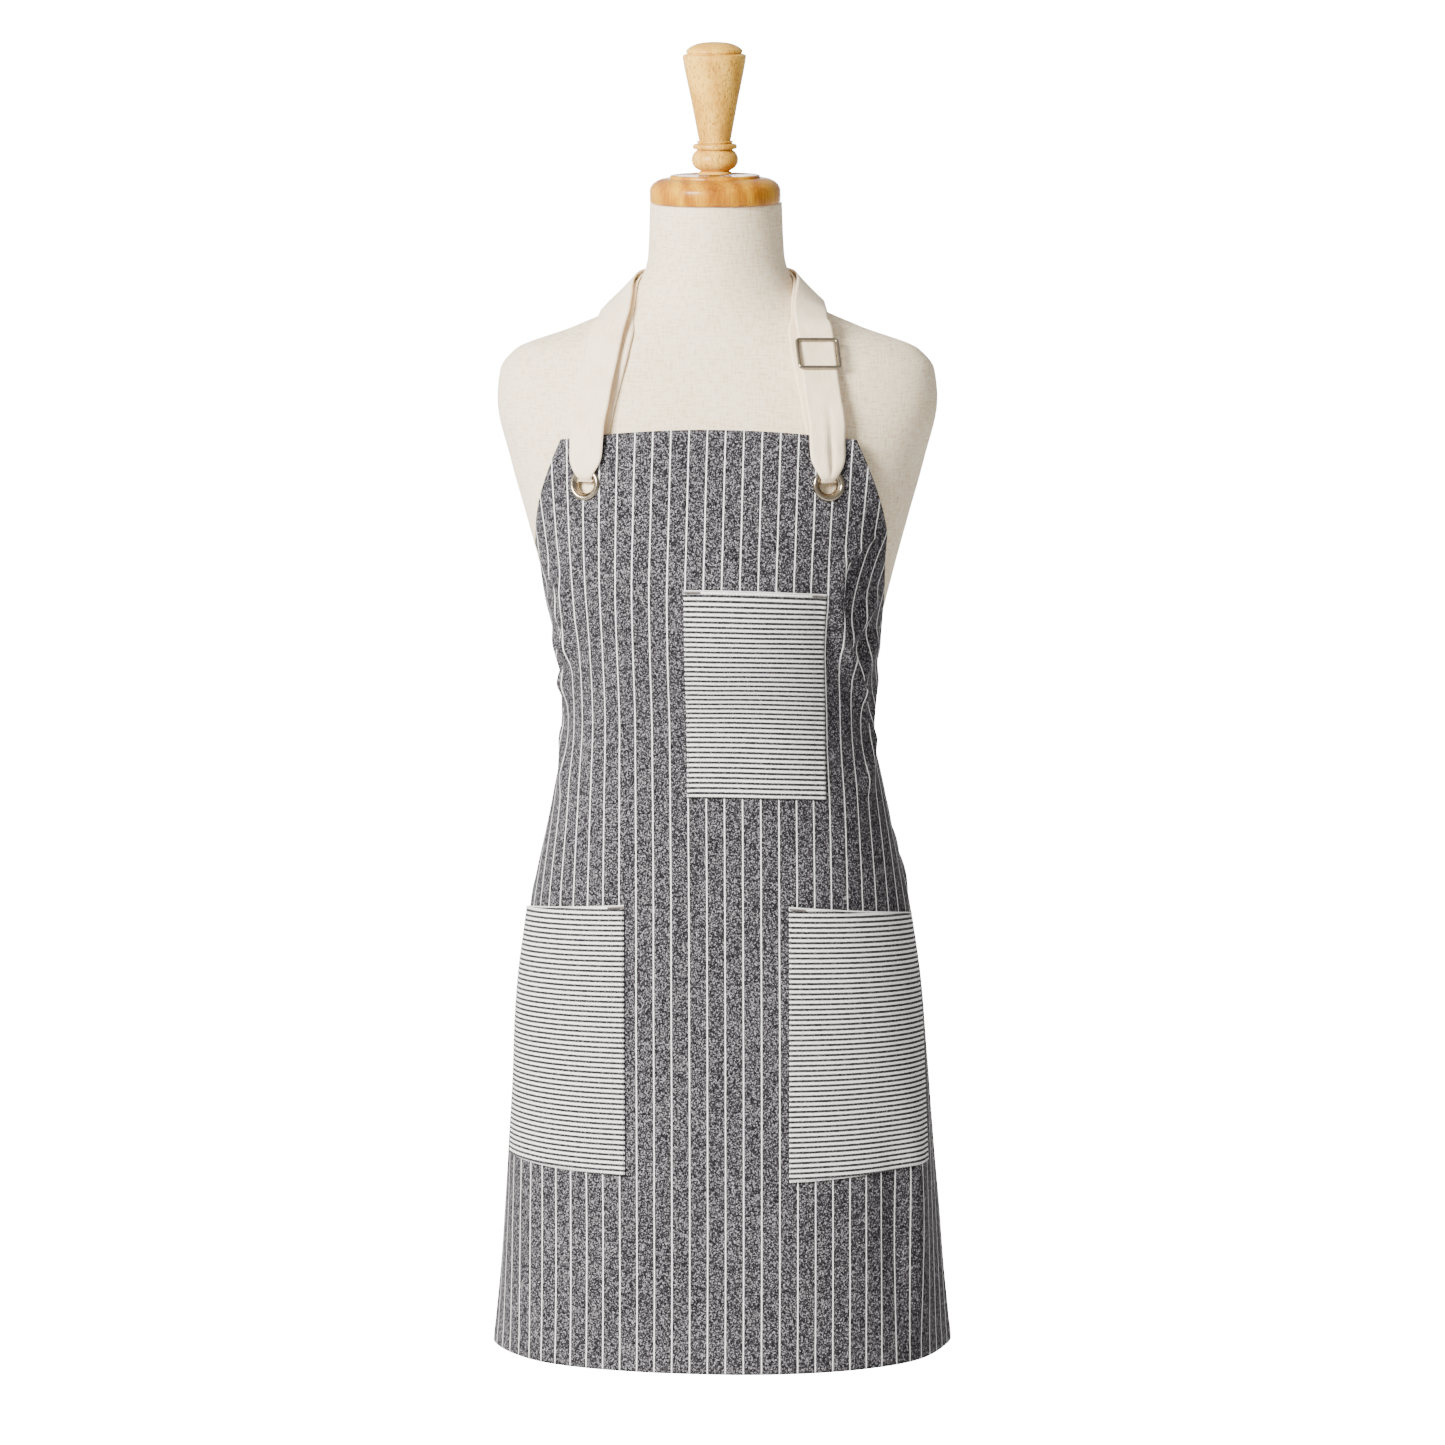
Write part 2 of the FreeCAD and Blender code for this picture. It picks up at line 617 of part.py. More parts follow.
def waist_tie():
    span, loop, tail = tie_runs()
    up = Vector(0, 0, 1)
    pieces = []
    for run in (span, loop):
        stations = []
        for i, centre in enumerate(run):
            ahead = run[min(i + 1, len(run) - 1)] - run[max(i - 1, 0)]
            across = up - ahead * (up.dot(ahead) / ahead.Length ** 2)
            across.normalize()
            outward = ahead.cross(across)
            outward.normalize()
            pinch = 0.72 if i in (0, len(run) - 1) and run is loop else 1.0
            stations.append((centre, across, outward, TIE_W * pinch))
        pieces.append(ribbon(stations, TIE_T))
    tail_widths = [TIE_W * 0.6] + [TIE_W] * (len(tail) - 1)
    pieces.append(ribbon(along(tail, [Vector(0, 1, 0)] * len(tail), tail_widths), TIE_T))
    return pieces


def waist_knot():
    """Rounded block where the two ties cross and wrap."""
    knot = Part.makeSphere(1.0)
    shape = FreeCAD.Matrix(11.2, 0, 0, KNOT.x, 0, 8.5, 0, KNOT.y, 0, 0, 13.5, KNOT.z, 0, 0, 0, 1)
    return knot.transformGeometry(shape)


# ---- All pieces ---------------------------------------------------------------------------------------
cover, shell, plate, block, edge_screws, cap_screws = form_pieces()
write("linen_cover", cover)
write("torso_shell", shell)
flange_screws = socket_screws()
for screw in flange_screws:
    plate = plate.cut(screw)
write("base_plate", plate)
write("neck_block", block)
write("base_plate_screws", *edge_screws)
write("neck_cap_screws", *cap_screws)
write("neck_cap", neck_cap(cap_screws))
write("finial_insert", finial_insert())
write("finial_stud", finial_stud())
write("finial", finial())
write("pole_socket", pole_socket())
write("socket_flange", socket_flange(flange_screws))
write("socket_screws", *flange_screws)
write("clamp_screw", clamp_screw())
write("clamp_knob", clamp_knob())

write("apron_panel", apron_panel())
write("chest_pocket", chest_pocket())
for name, piece in zip(("hip_pocket_left", "hip_pocket_right"), both_sides(hip_pocket())):
    write(name, piece)
write("pocket_bartacks", *bartacks())
eyelet, washer = grommet()
for name, piece in zip(("eyelet_left", "eyelet_right"), both_sides(eyelet)):
    write(name, piece)
for name, piece in zip(("eyelet_washer_left", "eyelet_washer_right"), both_sides(washer)):
    write(name, piece)
write("neck_strap", neck_strap())
write("strap_slider", strap_slider())

knot = waist_knot()
left_tie = [piece.cut(knot) for piece in waist_tie()]
write("waist_tie_left", *left_tie)
write("waist_tie_right", *[both_sides(piece)[1] for piece in left_tie])
write("waist_knot", knot)
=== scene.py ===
"""Looks of the apron and its dress form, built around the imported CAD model. Metres, +Z up, front at -Y."""
import math

import bpy
import numpy as np
from mathutils import Matrix, Vector


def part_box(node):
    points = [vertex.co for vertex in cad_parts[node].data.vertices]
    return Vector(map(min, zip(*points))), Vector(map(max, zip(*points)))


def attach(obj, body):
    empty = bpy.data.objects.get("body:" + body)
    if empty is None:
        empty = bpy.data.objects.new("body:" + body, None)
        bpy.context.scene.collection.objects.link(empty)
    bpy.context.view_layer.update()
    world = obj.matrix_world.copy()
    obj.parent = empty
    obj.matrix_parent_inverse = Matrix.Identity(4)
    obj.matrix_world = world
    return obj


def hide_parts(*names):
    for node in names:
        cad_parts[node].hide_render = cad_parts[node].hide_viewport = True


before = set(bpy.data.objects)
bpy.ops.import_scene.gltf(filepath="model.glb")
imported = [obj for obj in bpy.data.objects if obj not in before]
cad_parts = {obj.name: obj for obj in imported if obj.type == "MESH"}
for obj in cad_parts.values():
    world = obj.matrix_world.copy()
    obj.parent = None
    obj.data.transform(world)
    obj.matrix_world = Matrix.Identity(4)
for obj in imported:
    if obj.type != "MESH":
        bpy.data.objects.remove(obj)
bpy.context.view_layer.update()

MM = 0.001

# ---- Body measures, the same as the CAD model's, in millimetres ----
# Height, half width, depth in front and depth behind the middle plane.
FORM = [
    (878, 58.5, 62, 46), (832, 60.5, 60, 52), (806, 69, 62, 61), (788, 86, 66, 70),
    (768, 128, 71, 80), (748, 180, 79, 89), (730, 193.5, 87.5, 95), (705, 196, 98, 101),
    (650, 184, 116, 110), (600, 170, 131, 112), (545, 155, 144, 107), (490, 142, 132, 96),
    (420, 133.5, 99, 80), (340, 147, 103, 94), (250, 165.5, 108, 117), (160, 178.5, 109, 124),
    (70, 184, 107, 117)]
APRON = [
    (705, 205, 108, 110), (650, 193, 125, 119), (600, 176, 137, 118), (545, 160, 149, 112),
    (490, 146, 139, 100), (420, 137.5, 117, 85), (350, 148.5, 112, 98), (250, 170, 113.5, 122),
    (160, 183, 115, 130), (70, 189, 118.5, 128), (-30, 195, 124, 128), (-152, 203.5, 135, 132)]


def cubic(rows):
    """Monotone cubic through the rows: returns a function from heights to an array of measures."""
    table = np.array(sorted(rows), float)
    z, value = table[:, 0], table[:, 1:]
    gap = np.diff(z)[:, None]
    rise = np.diff(value, axis=0) / gap
    slope = np.zeros_like(value)
    slope[0], slope[-1] = rise[0], rise[-1]
    for i in range(1, len(z) - 1):
        before = 2 * gap[i] + gap[i - 1]
        after = gap[i] + 2 * gap[i - 1]
        same = rise[i - 1] * rise[i] > 0
        safe = np.where(same, rise[i - 1], 1.0), np.where(same, rise[i], 1.0)
        slope[i] = np.where(same, (before + after) / (before / safe[0] + after / safe[1]), 0.0)

    def at(height):
        height = np.clip(np.asarray(height, float), z[0], z[-1])
        k = np.clip(np.searchsorted(z, height, side="right") - 1, 0, len(z) - 2)
        h = gap[k][..., 0]
        t = ((height - z[k]) / h)[..., None]
        h = h[..., None]
        return ((2 * t ** 3 - 3 * t ** 2 + 1) * value[k] + (t ** 3 - 2 * t ** 2 + t) * h * slope[k]
                + (3 * t ** 2 - 2 * t ** 3) * value[k + 1] + (t ** 3 - t ** 2) * h * slope[k + 1])
    return at


form_at = cubic(FORM)
apron_at = cubic(APRON)


def squareness(z):
    rise = np.clip((np.asarray(z, float) - 680) / 80, 0, 1)
    return 2.25 - 0.3 * rise * rise * (3 - 2 * rise)


def around(measures, power, angle):
    """Point of a section: angle 0 is the wearer's left side, -pi/2 the front."""
    c, s = np.cos(angle), np.sin(angle)
    depth = np.where(s > 0, measures[..., 2], measures[..., 1])
    x = measures[..., 0] * np.sign(c) * np.abs(c) ** (2 / power)
    y = depth * np.sign(s) * np.abs(s) ** (2 / power)
    return x, y


# ---- Surface of the form, for straps and ties ----
def level(p):
    half, front, back = form_at(p[2])
    power = float(squareness(p[2]))
    return (abs(p[0]) / half) ** power + (abs(p[1]) / (back if p[1] > 0 else front)) ** power - 1


def uphill(p):
    step = np.eye(3) * 0.1
    return np.array([(level(p + s) - level(p - s)) / 0.2 for s in step])


def skin(point, rise):
    """Nearest point of the form to a rough one in millimetres, lifted by rise, and the way out."""
    p = np.array(point, float)
    for _ in range(30):
        away = uphill(p)
        p = p - away * (level(p) / (away @ away))
    away = uphill(p)
    away /= np.linalg.norm(away)
    return p + away * rise, away


def smooth_noise(x, y, seed, size=64):
    """Smooth noise from -1 to 1, one cell a unit, the same on every run."""
    grid = np.random.default_rng(seed).uniform(-1, 1, (size, size))
    xi, yi = np.floor(x).astype(int), np.floor(y).astype(int)
    fx, fy = x - xi, y - yi
    fx, fy = fx * fx * (3 - 2 * fx), fy * fy * (3 - 2 * fy)
    a, b = grid[xi % size, yi % size], grid[(xi + 1) % size, yi % size]
    c, d = grid[xi % size, (yi + 1) % size], grid[(xi + 1) % size, (yi + 1) % size]
    return (a * (1 - fx) + b * fx) * (1 - fy) + (c * (1 - fx) + d * fx) * fy


# ---- Meshes ----
def new_object(name, vertices, faces, material, body="root", slot=None, uv=None, smooth=True):
    mesh = bpy.data.meshes.new(name)
    mesh.from_pydata([tuple(v) for v in vertices], [], [tuple(int(i) for i in f) for f in faces])
    if uv is not None:
        layer = mesh.uv_layers.new(name="flat")
        index = np.empty(len(mesh.loops), int)
        mesh.loops.foreach_get("vertex_index", index)
        layer.data.foreach_set("uv", np.asarray(uv, float)[index].ravel())
    mesh.validate()
    mesh.polygons.foreach_set("use_smooth", [smooth] * len(mesh.polygons))
    piece = bpy.data.objects.new(name, mesh)
    bpy.context.scene.collection.objects.link(piece)
    mesh.materials.append(material)
    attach(piece, body)
    return piece


def grid_faces(rows, columns, close_rows=False, close_columns=False, turned=False):
    faces = []
    for r in range(rows if close_rows else rows - 1):
        for c in range(columns if close_columns else columns - 1):
            r1, c1 = (r + 1) % rows, (c + 1) % columns
            face = (r * columns + c, r * columns + c1, r1 * columns + c1, r1 * columns + c)
            faces.append(face[::-1] if turned else face)
    return faces


def grid_object(name, points, material, uv=None, **options):
    rows, columns = points.shape[:2]
    shape = {k: options.pop(k, False) for k in ("close_rows", "close_columns", "turned")}
    skip = options.pop("skip", None)
    flat_uv = None if uv is None else uv.reshape(-1, 2)
    faces = grid_faces(rows, columns, **shape)
    if skip is not None:
        gone = skip.ravel()
        faces = [face for face in faces if not all(gone[i] for i in face)]
    return new_object(name, points.reshape(-1, 3), faces, material, uv=flat_uv, **options)


def thicken(piece, thickness, offset=-1.0):
    modifier = piece.modifiers.new("cloth thickness", "SOLIDIFY")
    modifier.thickness = thickness
    modifier.offset = offset
    modifier.use_even_offset = False


def lathe(name, profile, centre, material, slot, body="root", axis=(0, 0, 1), steps=96):
    """Turned piece from (radius, height) corners in millimetres, smooth where the corners are dense."""
    profile = np.array(profile, float) * MM
    angle = np.linspace(0, 2 * math.pi, steps, endpoint=False)
    ring = np.stack([np.cos(angle), np.sin(angle), np.zeros(steps)], 1)
    turn = Vector((0, 0, 1)).rotation_difference(Vector(axis)).to_matrix()
    points = profile[:, None, :1] * ring[None] + np.array([0, 0, 1.0]) * profile[:, None, 1:]
    points = points @ np.array(turn).T + np.array(centre)
    along = np.concatenate([[0], np.cumsum(np.linalg.norm(np.diff(profile, axis=0), axis=1))])
    uv = np.stack(np.broadcast_arrays(angle[None] * profile[:, :1].max(), along[:, None]), 2)
    return grid_object(name, points, material, uv=uv, body=body, slot=slot, close_columns=True)


def smooth_path(points, per=8):
    """Catmull-Rom curve through the rows of points, with extra values carried along."""
    p = np.array(points, float)
    p = np.vstack([2 * p[0] - p[1], p, 2 * p[-1] - p[-2]])
    out = []
    for i in range(1, len(p) - 2):
        for t in np.arange(per) / per:
            out.append(0.5 * (2 * p[i] + (p[i + 1] - p[i - 1]) * t
                              + (2 * p[i - 1] - 5 * p[i] + 4 * p[i + 1] - p[i + 2]) * t ** 2
                              + (3 * p[i] - p[i - 1] - 3 * p[i + 1] + p[i + 2]) * t ** 3))
    out.append(p[-2])
    return np.array(out)


# ---- Node materials ----
class Nodes:
    """Small helper for writing a material's nodes."""

    def __init__(self, name, roughness, metallic=0.0, **sockets):
        self.material = bpy.data.materials.new(name)
        self.material.use_nodes = True
        self.tree = self.material.node_tree
        self.shader = self.tree.nodes["Principled BSDF"]
        self.shader.inputs["Roughness"].default_value = roughness
        self.shader.inputs["Metallic"].default_value = metallic
        for socket, value in sockets.items():
            self.shader.inputs[socket.replace("_", " ")].default_value = value

    def node(self, kind, **settings):
        node = self.tree.nodes.new(kind)
        for key, value in settings.items():
            setattr(node, key, value)
        return node

    def wire(self, value, socket):
        if isinstance(value, (int, float)):
            socket.default_value = value
        elif isinstance(value, tuple):
            socket.default_value = value if len(socket.default_value) == len(value) else (*value, 1.0)
        else:
            self.tree.links.new(value, socket)

    def math(self, operation, a, b=0.0, c=0.0, clamp=False):
        node = self.node("ShaderNodeMath", operation=operation, use_clamp=clamp)
        for value, socket in zip((a, b, c), node.inputs):
            self.wire(value, socket)
        return node.outputs[0]

    def uv(self):
        return self.node("ShaderNodeUVMap", uv_map="flat").outputs["UV"]

    def object(self):
        return self.node("ShaderNodeTexCoord").outputs["Object"]

    def split(self, vector):
        node = self.node("ShaderNodeSeparateXYZ")
        self.wire(vector, node.inputs[0])
        return node.outputs

    def scaled(self, vector, scale, rotation=(0, 0, 0)):
        node = self.node("ShaderNodeMapping")
        self.wire(vector, node.inputs["Vector"])
        node.inputs["Scale"].default_value = scale
        node.inputs["Rotation"].default_value = rotation
        return node.outputs[0]

    def noise(self, vector, scale, detail=2.0, roughness=0.5, distortion=0.0):
        node = self.node("ShaderNodeTexNoise")
        self.wire(vector, node.inputs["Vector"])
        for key, value in (("Scale", scale), ("Detail", detail), ("Roughness", roughness),
                           ("Distortion", distortion)):
            node.inputs[key].default_value = value
        return node.outputs["Fac"]

    def cells(self, vector, scale):
        node = self.node("ShaderNodeTexWhiteNoise", noise_dimensions="2D")
        floor = self.node("ShaderNodeVectorMath", operation="FLOOR")
        self.wire(self.scaled(vector, (scale, scale, scale)), floor.inputs[0])
        self.wire(floor.outputs[0], node.inputs["Vector"])
        return node.outputs["Value"]

    def ramp(self, value, *stops):
        node = self.node("ShaderNodeValToRGB")
        ramp = node.color_ramp
        while len(ramp.elements) < len(stops):
            ramp.elements.new(0.5)
        for element, (place, colour) in zip(ramp.elements, stops):
            element.position = place
            element.color = (*colour, 1.0) if isinstance(colour, tuple) else (colour,) * 3 + (1.0,)
        self.wire(value, node.inputs[0])
        return node.outputs[0]

    def mix(self, factor, a, b, blend="MIX"):
        node = self.node("ShaderNodeMix", data_type="RGBA", blend_type=blend)
        self.wire(factor, node.inputs[0])
        self.wire(a, node.inputs[6])
        self.wire(b, node.inputs[7])
        return node.outputs[2]

    def bump(self, height, distance, strength=1.0, normal=None):
        node = self.node("ShaderNodeBump")
        node.inputs["Strength"].default_value = strength
        node.inputs["Distance"].default_value = distance
        self.wire(height, node.inputs["Height"])
        if normal is not None:
            self.wire(normal, node.inputs["Normal"])
        return node.outputs[0]

    def finish(self, colour=None, normal=None, roughness=None):
        for value, socket in ((colour, "Base Color"), (normal, "Normal"), (roughness, "Roughness")):
            if value is not None:
                self.wire(value, self.shader.inputs[socket])
        return self.material


def weave(n, vector, threads):
    """Plain weave height: over and under threads, threads a metre each way."""
    x, y, _ = n.split(vector)
    warp = n.math("SINE", n.math("MULTIPLY", x, threads * math.pi))
    weft = n.math("SINE", n.math("MULTIPLY", y, threads * math.pi))
    return n.math("MULTIPLY", warp, weft)


def stripe(n, coordinate, period, width, soft):
    """1 on lines that repeat every period, width wide, with soft edges."""
    phase = n.math("PINGPONG", coordinate, period / 2)
    return n.math("SUBTRACT", 1.0, n.math("DIVIDE", n.math("SUBTRACT", phase, width / 2 - soft / 2), soft),
                  clamp=True)


PIN_PERIOD = 16 * MM
PIN_WIDTH = 1.05 * MM
TICK_PERIOD = 4.6 * MM
TICK_WIDTH = 2.35 * MM


def heather(n, uv, dark, light):
    """Salt-and-pepper yarn: short light and dark lengths of thread, and slow patches of tone."""
    across = n.cells(n.scaled(uv, (1, 0.62, 1)), 1350)
    along = n.cells(n.scaled(uv, (0.62, 1, 1), (0, 0, 0.12)), 1450)
    value = n.math("ADD", n.math("MULTIPLY", across, 0.56), n.math("MULTIPLY", along, 0.44))
    middle = tuple(a + (b - a) * 0.13 for a, b in zip(dark, light))
    colour = n.ramp(value, (0.32, dark), (0.60, middle), (0.88, light))
    patch = n.noise(uv, 11, detail=4)
    return n.mix(0.35, colour, n.ramp(patch, (0.3, 0.36), (0.7, 0.64)), "SOFT_LIGHT"), value


def pinstripe_cotton():
    n = Nodes("pinstripe cotton", 0.95, Sheen_Weight=0.03, Specular_IOR_Level=0.12)
    uv = n.uv()
    u = n.split(uv)[0]
    colour, value = heather(n, uv, (0.006, 0.005, 0.007), (0.285, 0.270, 0.283))
    wobble = n.math("MULTIPLY", n.math("SUBTRACT", n.noise(uv, 220, detail=1), 0.5), 0.5 * MM)
    line = stripe(n, n.math("ADD", u, wobble), PIN_PERIOD, PIN_WIDTH, 0.25 * MM)
    gaps = n.noise(n.scaled(uv, (1, 0.5, 1)), 1400)
    broken = n.math("SUBTRACT", 1.15, n.math("MULTIPLY", gaps, 0.5), clamp=True)
    colour = n.mix(n.math("MULTIPLY", line, broken), colour, (0.97, 0.96, 0.93))
    height = n.math("ADD", weave(n, uv, 1150), n.math("MULTIPLY", value, 0.8))
    return n.finish(colour, n.bump(height, 0.12 * MM, 0.7))


def ticking_cotton():
    n = Nodes("ticking cotton", 0.95, Sheen_Weight=0.03, Specular_IOR_Level=0.12)
    uv = n.uv()
    v = n.split(uv)[1]
    dark, value = heather(n, uv, (0.012, 0.011, 0.013), (0.11, 0.106, 0.11))
    wobble = n.math("MULTIPLY", n.math("SUBTRACT", n.noise(uv, 500, detail=1), 0.5), 0.5 * MM)
    line = stripe(n, n.math("ADD", n.math("ADD", v, wobble), 0.4 * MM), TICK_PERIOD, TICK_WIDTH, 0.35 * MM)
    slub = n.noise(n.scaled(uv, (0.4, 1, 1)), 900)
    light = n.ramp(slub, (0.25, (0.66, 0.65, 0.62)), (0.65, (0.93, 0.92, 0.89)))
    colour = n.mix(line, light, dark)
    height = n.math("ADD", weave(n, uv, 1150), n.math("MULTIPLY", value, 0.6))
    return n.finish(colour, n.bump(height, 0.12 * MM, 0.7))


def linen():
    n = Nodes("linen", 0.95, Sheen_Weight=0.2, Specular_IOR_Level=0.2)
    uv = n.uv()
    warp = n.noise(n.scaled(uv, (1, 0.16, 1)), 620, detail=2)
    weft = n.noise(n.scaled(uv, (0.16, 1, 1)), 620, detail=2)
    yarn = n.math("ADD", n.math("MULTIPLY", warp, 0.5), n.math("MULTIPLY", weft, 0.5))
    patch = n.noise(uv, 14, detail=3)
    value = n.math("ADD", n.math("MULTIPLY", yarn, 0.85), n.math("MULTIPLY", patch, 0.15))
    colour = n.ramp(value, (0.38, (0.76, 0.58, 0.36)), (0.50, (0.95, 0.78, 0.53)), (0.62, (0.98, 0.87, 0.66)))
    height = n.math("ADD", weave(n, uv, 1300), yarn)
    return n.finish(colour, n.bump(height, 0.25 * MM, 0.8))


def cream_tape():
    n = Nodes("cream cotton tape", 0.9, Sheen_Weight=0.2, Specular_IOR_Level=0.2)
    uv = n.uv()
    u, v, _ = n.split(uv)
    twill = n.math("SINE", n.math("MULTIPLY", n.math("ADD", u, v), 2 * math.pi / (1.1 * MM)))
    slub = n.noise(n.scaled(uv, (1, 0.1, 1)), 900, detail=2)
    patch = n.noise(uv, 45, detail=3)
    value = n.math("ADD", n.math("MULTIPLY", slub, 0.6), n.math("MULTIPLY", patch, 0.4))
    colour = n.ramp(value, (0.30, (0.80, 0.62, 0.40)), (0.55, (0.93, 0.77, 0.54)), (0.75, (0.97, 0.86, 0.67)))
    return n.finish(colour, n.bump(n.math("ADD", n.math("MULTIPLY", twill, 0.5), slub), 0.12 * MM, 0.6))


def thread(name, colour):
    n = Nodes(name, 0.8, Sheen_Weight=0.3)
    twist = n.noise(n.scaled(n.object(), (1, 1, 1)), 2500, detail=1)
    shade = n.ramp(twist, (0.3, tuple(c * 0.65 for c in colour)), (0.7, colour))
    return n.finish(shade, n.bump(twist, 0.1 * MM, 0.5))


def turned_wood(name, dark, mid, light, speckle, coat, bands):
    """Varnished wood: faint slanting bands, long fibres and short dark pores."""
    n = Nodes(name, 0.42, Coat_Weight=coat, Coat_Roughness=0.16, Specular_IOR_Level=0.15)
    place = n.object()
    bent = n.scaled(place, (1, 1, 0.35), (0.5, 0.55, 0.2))
    ring = n.node("ShaderNodeTexWave", wave_type="BANDS", bands_direction="X")
    n.wire(bent, ring.inputs["Vector"])
    for key, value in (("Scale", 17), ("Distortion", 5), ("Detail", 3), ("Detail Scale", 1.4)):
        ring.inputs[key].default_value = value
    cloud = n.noise(place, 18, detail=3)
    fibre = n.noise(n.scaled(place, (1, 1, 0.09)), 700, detail=3)
    pores = n.noise(n.scaled(place, (1, 1, 0.28)), 950, detail=2)
    cloud = n.math("MULTIPLY", cloud, 0.55 - bands)
    tone = n.math("ADD", n.math("MULTIPLY", ring.outputs["Fac"], bands), cloud)
    tone = n.math("ADD", tone, n.math("MULTIPLY", fibre, 0.45))
    colour = n.ramp(tone, (0.28, dark), (0.50, mid), (0.74, light))
    fleck = n.math("MULTIPLY", n.math("GREATER_THAN", pores, 0.60), speckle)
    colour = n.mix(fleck, colour, tuple(c * 0.45 for c in dark))
    roughness = n.math("ADD", 0.26, n.math("MULTIPLY", fibre, 0.2))
    return n.finish(colour, n.bump(fibre, 0.04 * MM, 0.3), roughness)


def metal(name, colour, roughness, scratch=0.35):
    n = Nodes(name, roughness, metallic=1.0)
    place = n.object()
    wear = n.noise(place, 160, detail=4)
    fine = n.noise(n.scaled(place, (1, 1, 6)), 1800, detail=2)
    shade = n.ramp(wear, (0.35, tuple(c * 0.82 for c in colour)), (0.7, colour))
    rough = n.math("ADD", roughness * 0.7, n.math("MULTIPLY", wear, roughness * 0.9))
    return n.finish(shade, n.bump(fine, 0.02 * MM, scratch), rough)


def painted(name, colour, roughness):
    n = Nodes(name, roughness, Coat_Weight=0.15)
    peel = n.noise(n.object(), 900, detail=2)
    wear = n.noise(n.object(), 60, detail=4)
    shade = n.ramp(wear, (0.35, colour), (0.75, tuple(min(1.0, c * 1.5 + 0.01) for c in colour)))
    rough = n.math("ADD", roughness - 0.1, n.math("MULTIPLY", wear, 0.25))
    return n.finish(shade, n.bump(peel, 0.08 * MM, 0.5), rough)


def plywood():
    n = Nodes("plywood", 0.6)
    z = n.split(n.object())[2]
    plies = n.math("PINGPONG", z, 1.6 * MM)
    layer = n.math("GREATER_THAN", plies, 0.8 * MM)
    grain = n.noise(n.scaled(n.object(), (0.06, 1, 1)), 260, detail=4)
    face = n.ramp(grain, (0.3, (0.42, 0.29, 0.17)), (0.7, (0.66, 0.51, 0.34)))
    colour = n.mix(n.math("MULTIPLY", layer, 0.25), face, (0.30, 0.19, 0.10))
    return n.finish(colour, n.bump(grain, 0.1 * MM, 0.4))


PINSTRIPE = pinstripe_cotton()
TICKING = ticking_cotton()
LINEN = linen()
TAPE = cream_tape()
WHITE_COTTON = thread("white cotton roll", (0.80, 0.79, 0.76))
GREY_THREAD = thread("grey thread", (0.16, 0.15, 0.15))
DARK_THREAD = thread("bar tack thread", (0.10, 0.075, 0.065))
PALE_WOOD = turned_wood("pale turned wood", (0.40, 0.17, 0.015), (0.74, 0.39, 0.050), (0.94, 0.61, 0.12),
                        speckle=0.65, coat=0.05, bands=0.12)
AMBER_WOOD = turned_wood("amber turned wood", (0.20, 0.050, 0.001), (0.44, 0.165, 0.001), (0.74, 0.38, 0.004),
                         speckle=0.15, coat=0.18, bands=0.18)
NICKEL = metal("warm nickel", (0.36, 0.30, 0.22), 0.15)
STEEL = metal("zinc-plated steel", (0.62, 0.62, 0.63), 0.32)
BRASS = metal("brass", (0.78, 0.58, 0.28), 0.28)
BLACK_COAT = painted("black powder coat", (0.020, 0.020, 0.021), 0.55)
KNOB = painted("black phenolic", (0.012, 0.012, 0.012), 0.35)
MOULDED = painted("moulded shell", (0.52, 0.46, 0.38), 0.7)
PLYWOOD = plywood()


# ---- Linen-covered form ----
def linen_cover():
    low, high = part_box("linen_cover")
    heights = np.concatenate([np.linspace(low.z, 0.70, 150), np.linspace(0.702, high.z, 110)]) / MM
    angle = np.linspace(-math.pi, math.pi, 361)[:-1]
    measures = form_at(heights)[:, None, :] * np.ones((1, len(angle), 1))
    x, y = around(measures, squareness(heights)[:, None], angle[None])
    points = np.stack([x, y, heights[:, None] * np.ones_like(x)], 2) * MM
    round_length = np.linalg.norm(np.diff(points, axis=1, append=points[:, :1]), axis=2)
    across = np.cumsum(round_length, axis=1) - round_length[:, :1]
    across -= across[:, len(angle) // 4:len(angle) // 4 + 1]
    uv = np.stack([across, heights[:, None] * MM * np.ones_like(across)], 2)
    cover = grid_object("linen_cover_cloth", points, LINEN, uv=uv, slot="linen", close_columns=True)
    thicken(cover, 0.8 * MM)
    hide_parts("linen_cover")


# ---- Apron cloth ----
TOP_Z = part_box("apron_panel")[1].z / MM
HEM_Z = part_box("apron_panel")[0].z / MM

# Arc-length table of the cloth's resting surface: outward from the middle of the front, by height.
HEIGHT_STEP = 4.0
ARC_STEP = 3.0
HEIGHTS = np.arange(HEM_Z - 30, 708, HEIGHT_STEP)
ARCS = np.arange(0, 420, ARC_STEP)


def surface_table():
    x_table = np.zeros((len(HEIGHTS), len(ARCS)))
    y_table = np.zeros_like(x_table)
    angle = np.linspace(-math.pi / 2, math.pi / 2, 900)
    for i, z in enumerate(HEIGHTS):
        x, y = around(apron_at(z)[None] * np.ones((len(angle), 1)), squareness(z), angle)
        arc = np.concatenate([[0], np.cumsum(np.hypot(np.diff(x), np.diff(y)))])
        x_table[i] = np.interp(ARCS, arc, x)
        y_table[i] = np.interp(ARCS, arc, y)
    return x_table, y_table


X_TABLE, Y_TABLE = surface_table()


def look_up(table, z, s):
    zi = np.clip((z - HEIGHTS[0]) / HEIGHT_STEP, 0, len(HEIGHTS) - 1.001)
    si = np.clip(s / ARC_STEP, 0, len(ARCS) - 1.001)
    i, j = zi.astype(int), si.astype(int)
    fz, fs = zi - i, si - j
    return ((table[i, j] * (1 - fs) + table[i, j + 1] * fs) * (1 - fz)
            + (table[i + 1, j] * (1 - fs) + table[i + 1, j + 1] * fs) * fz)


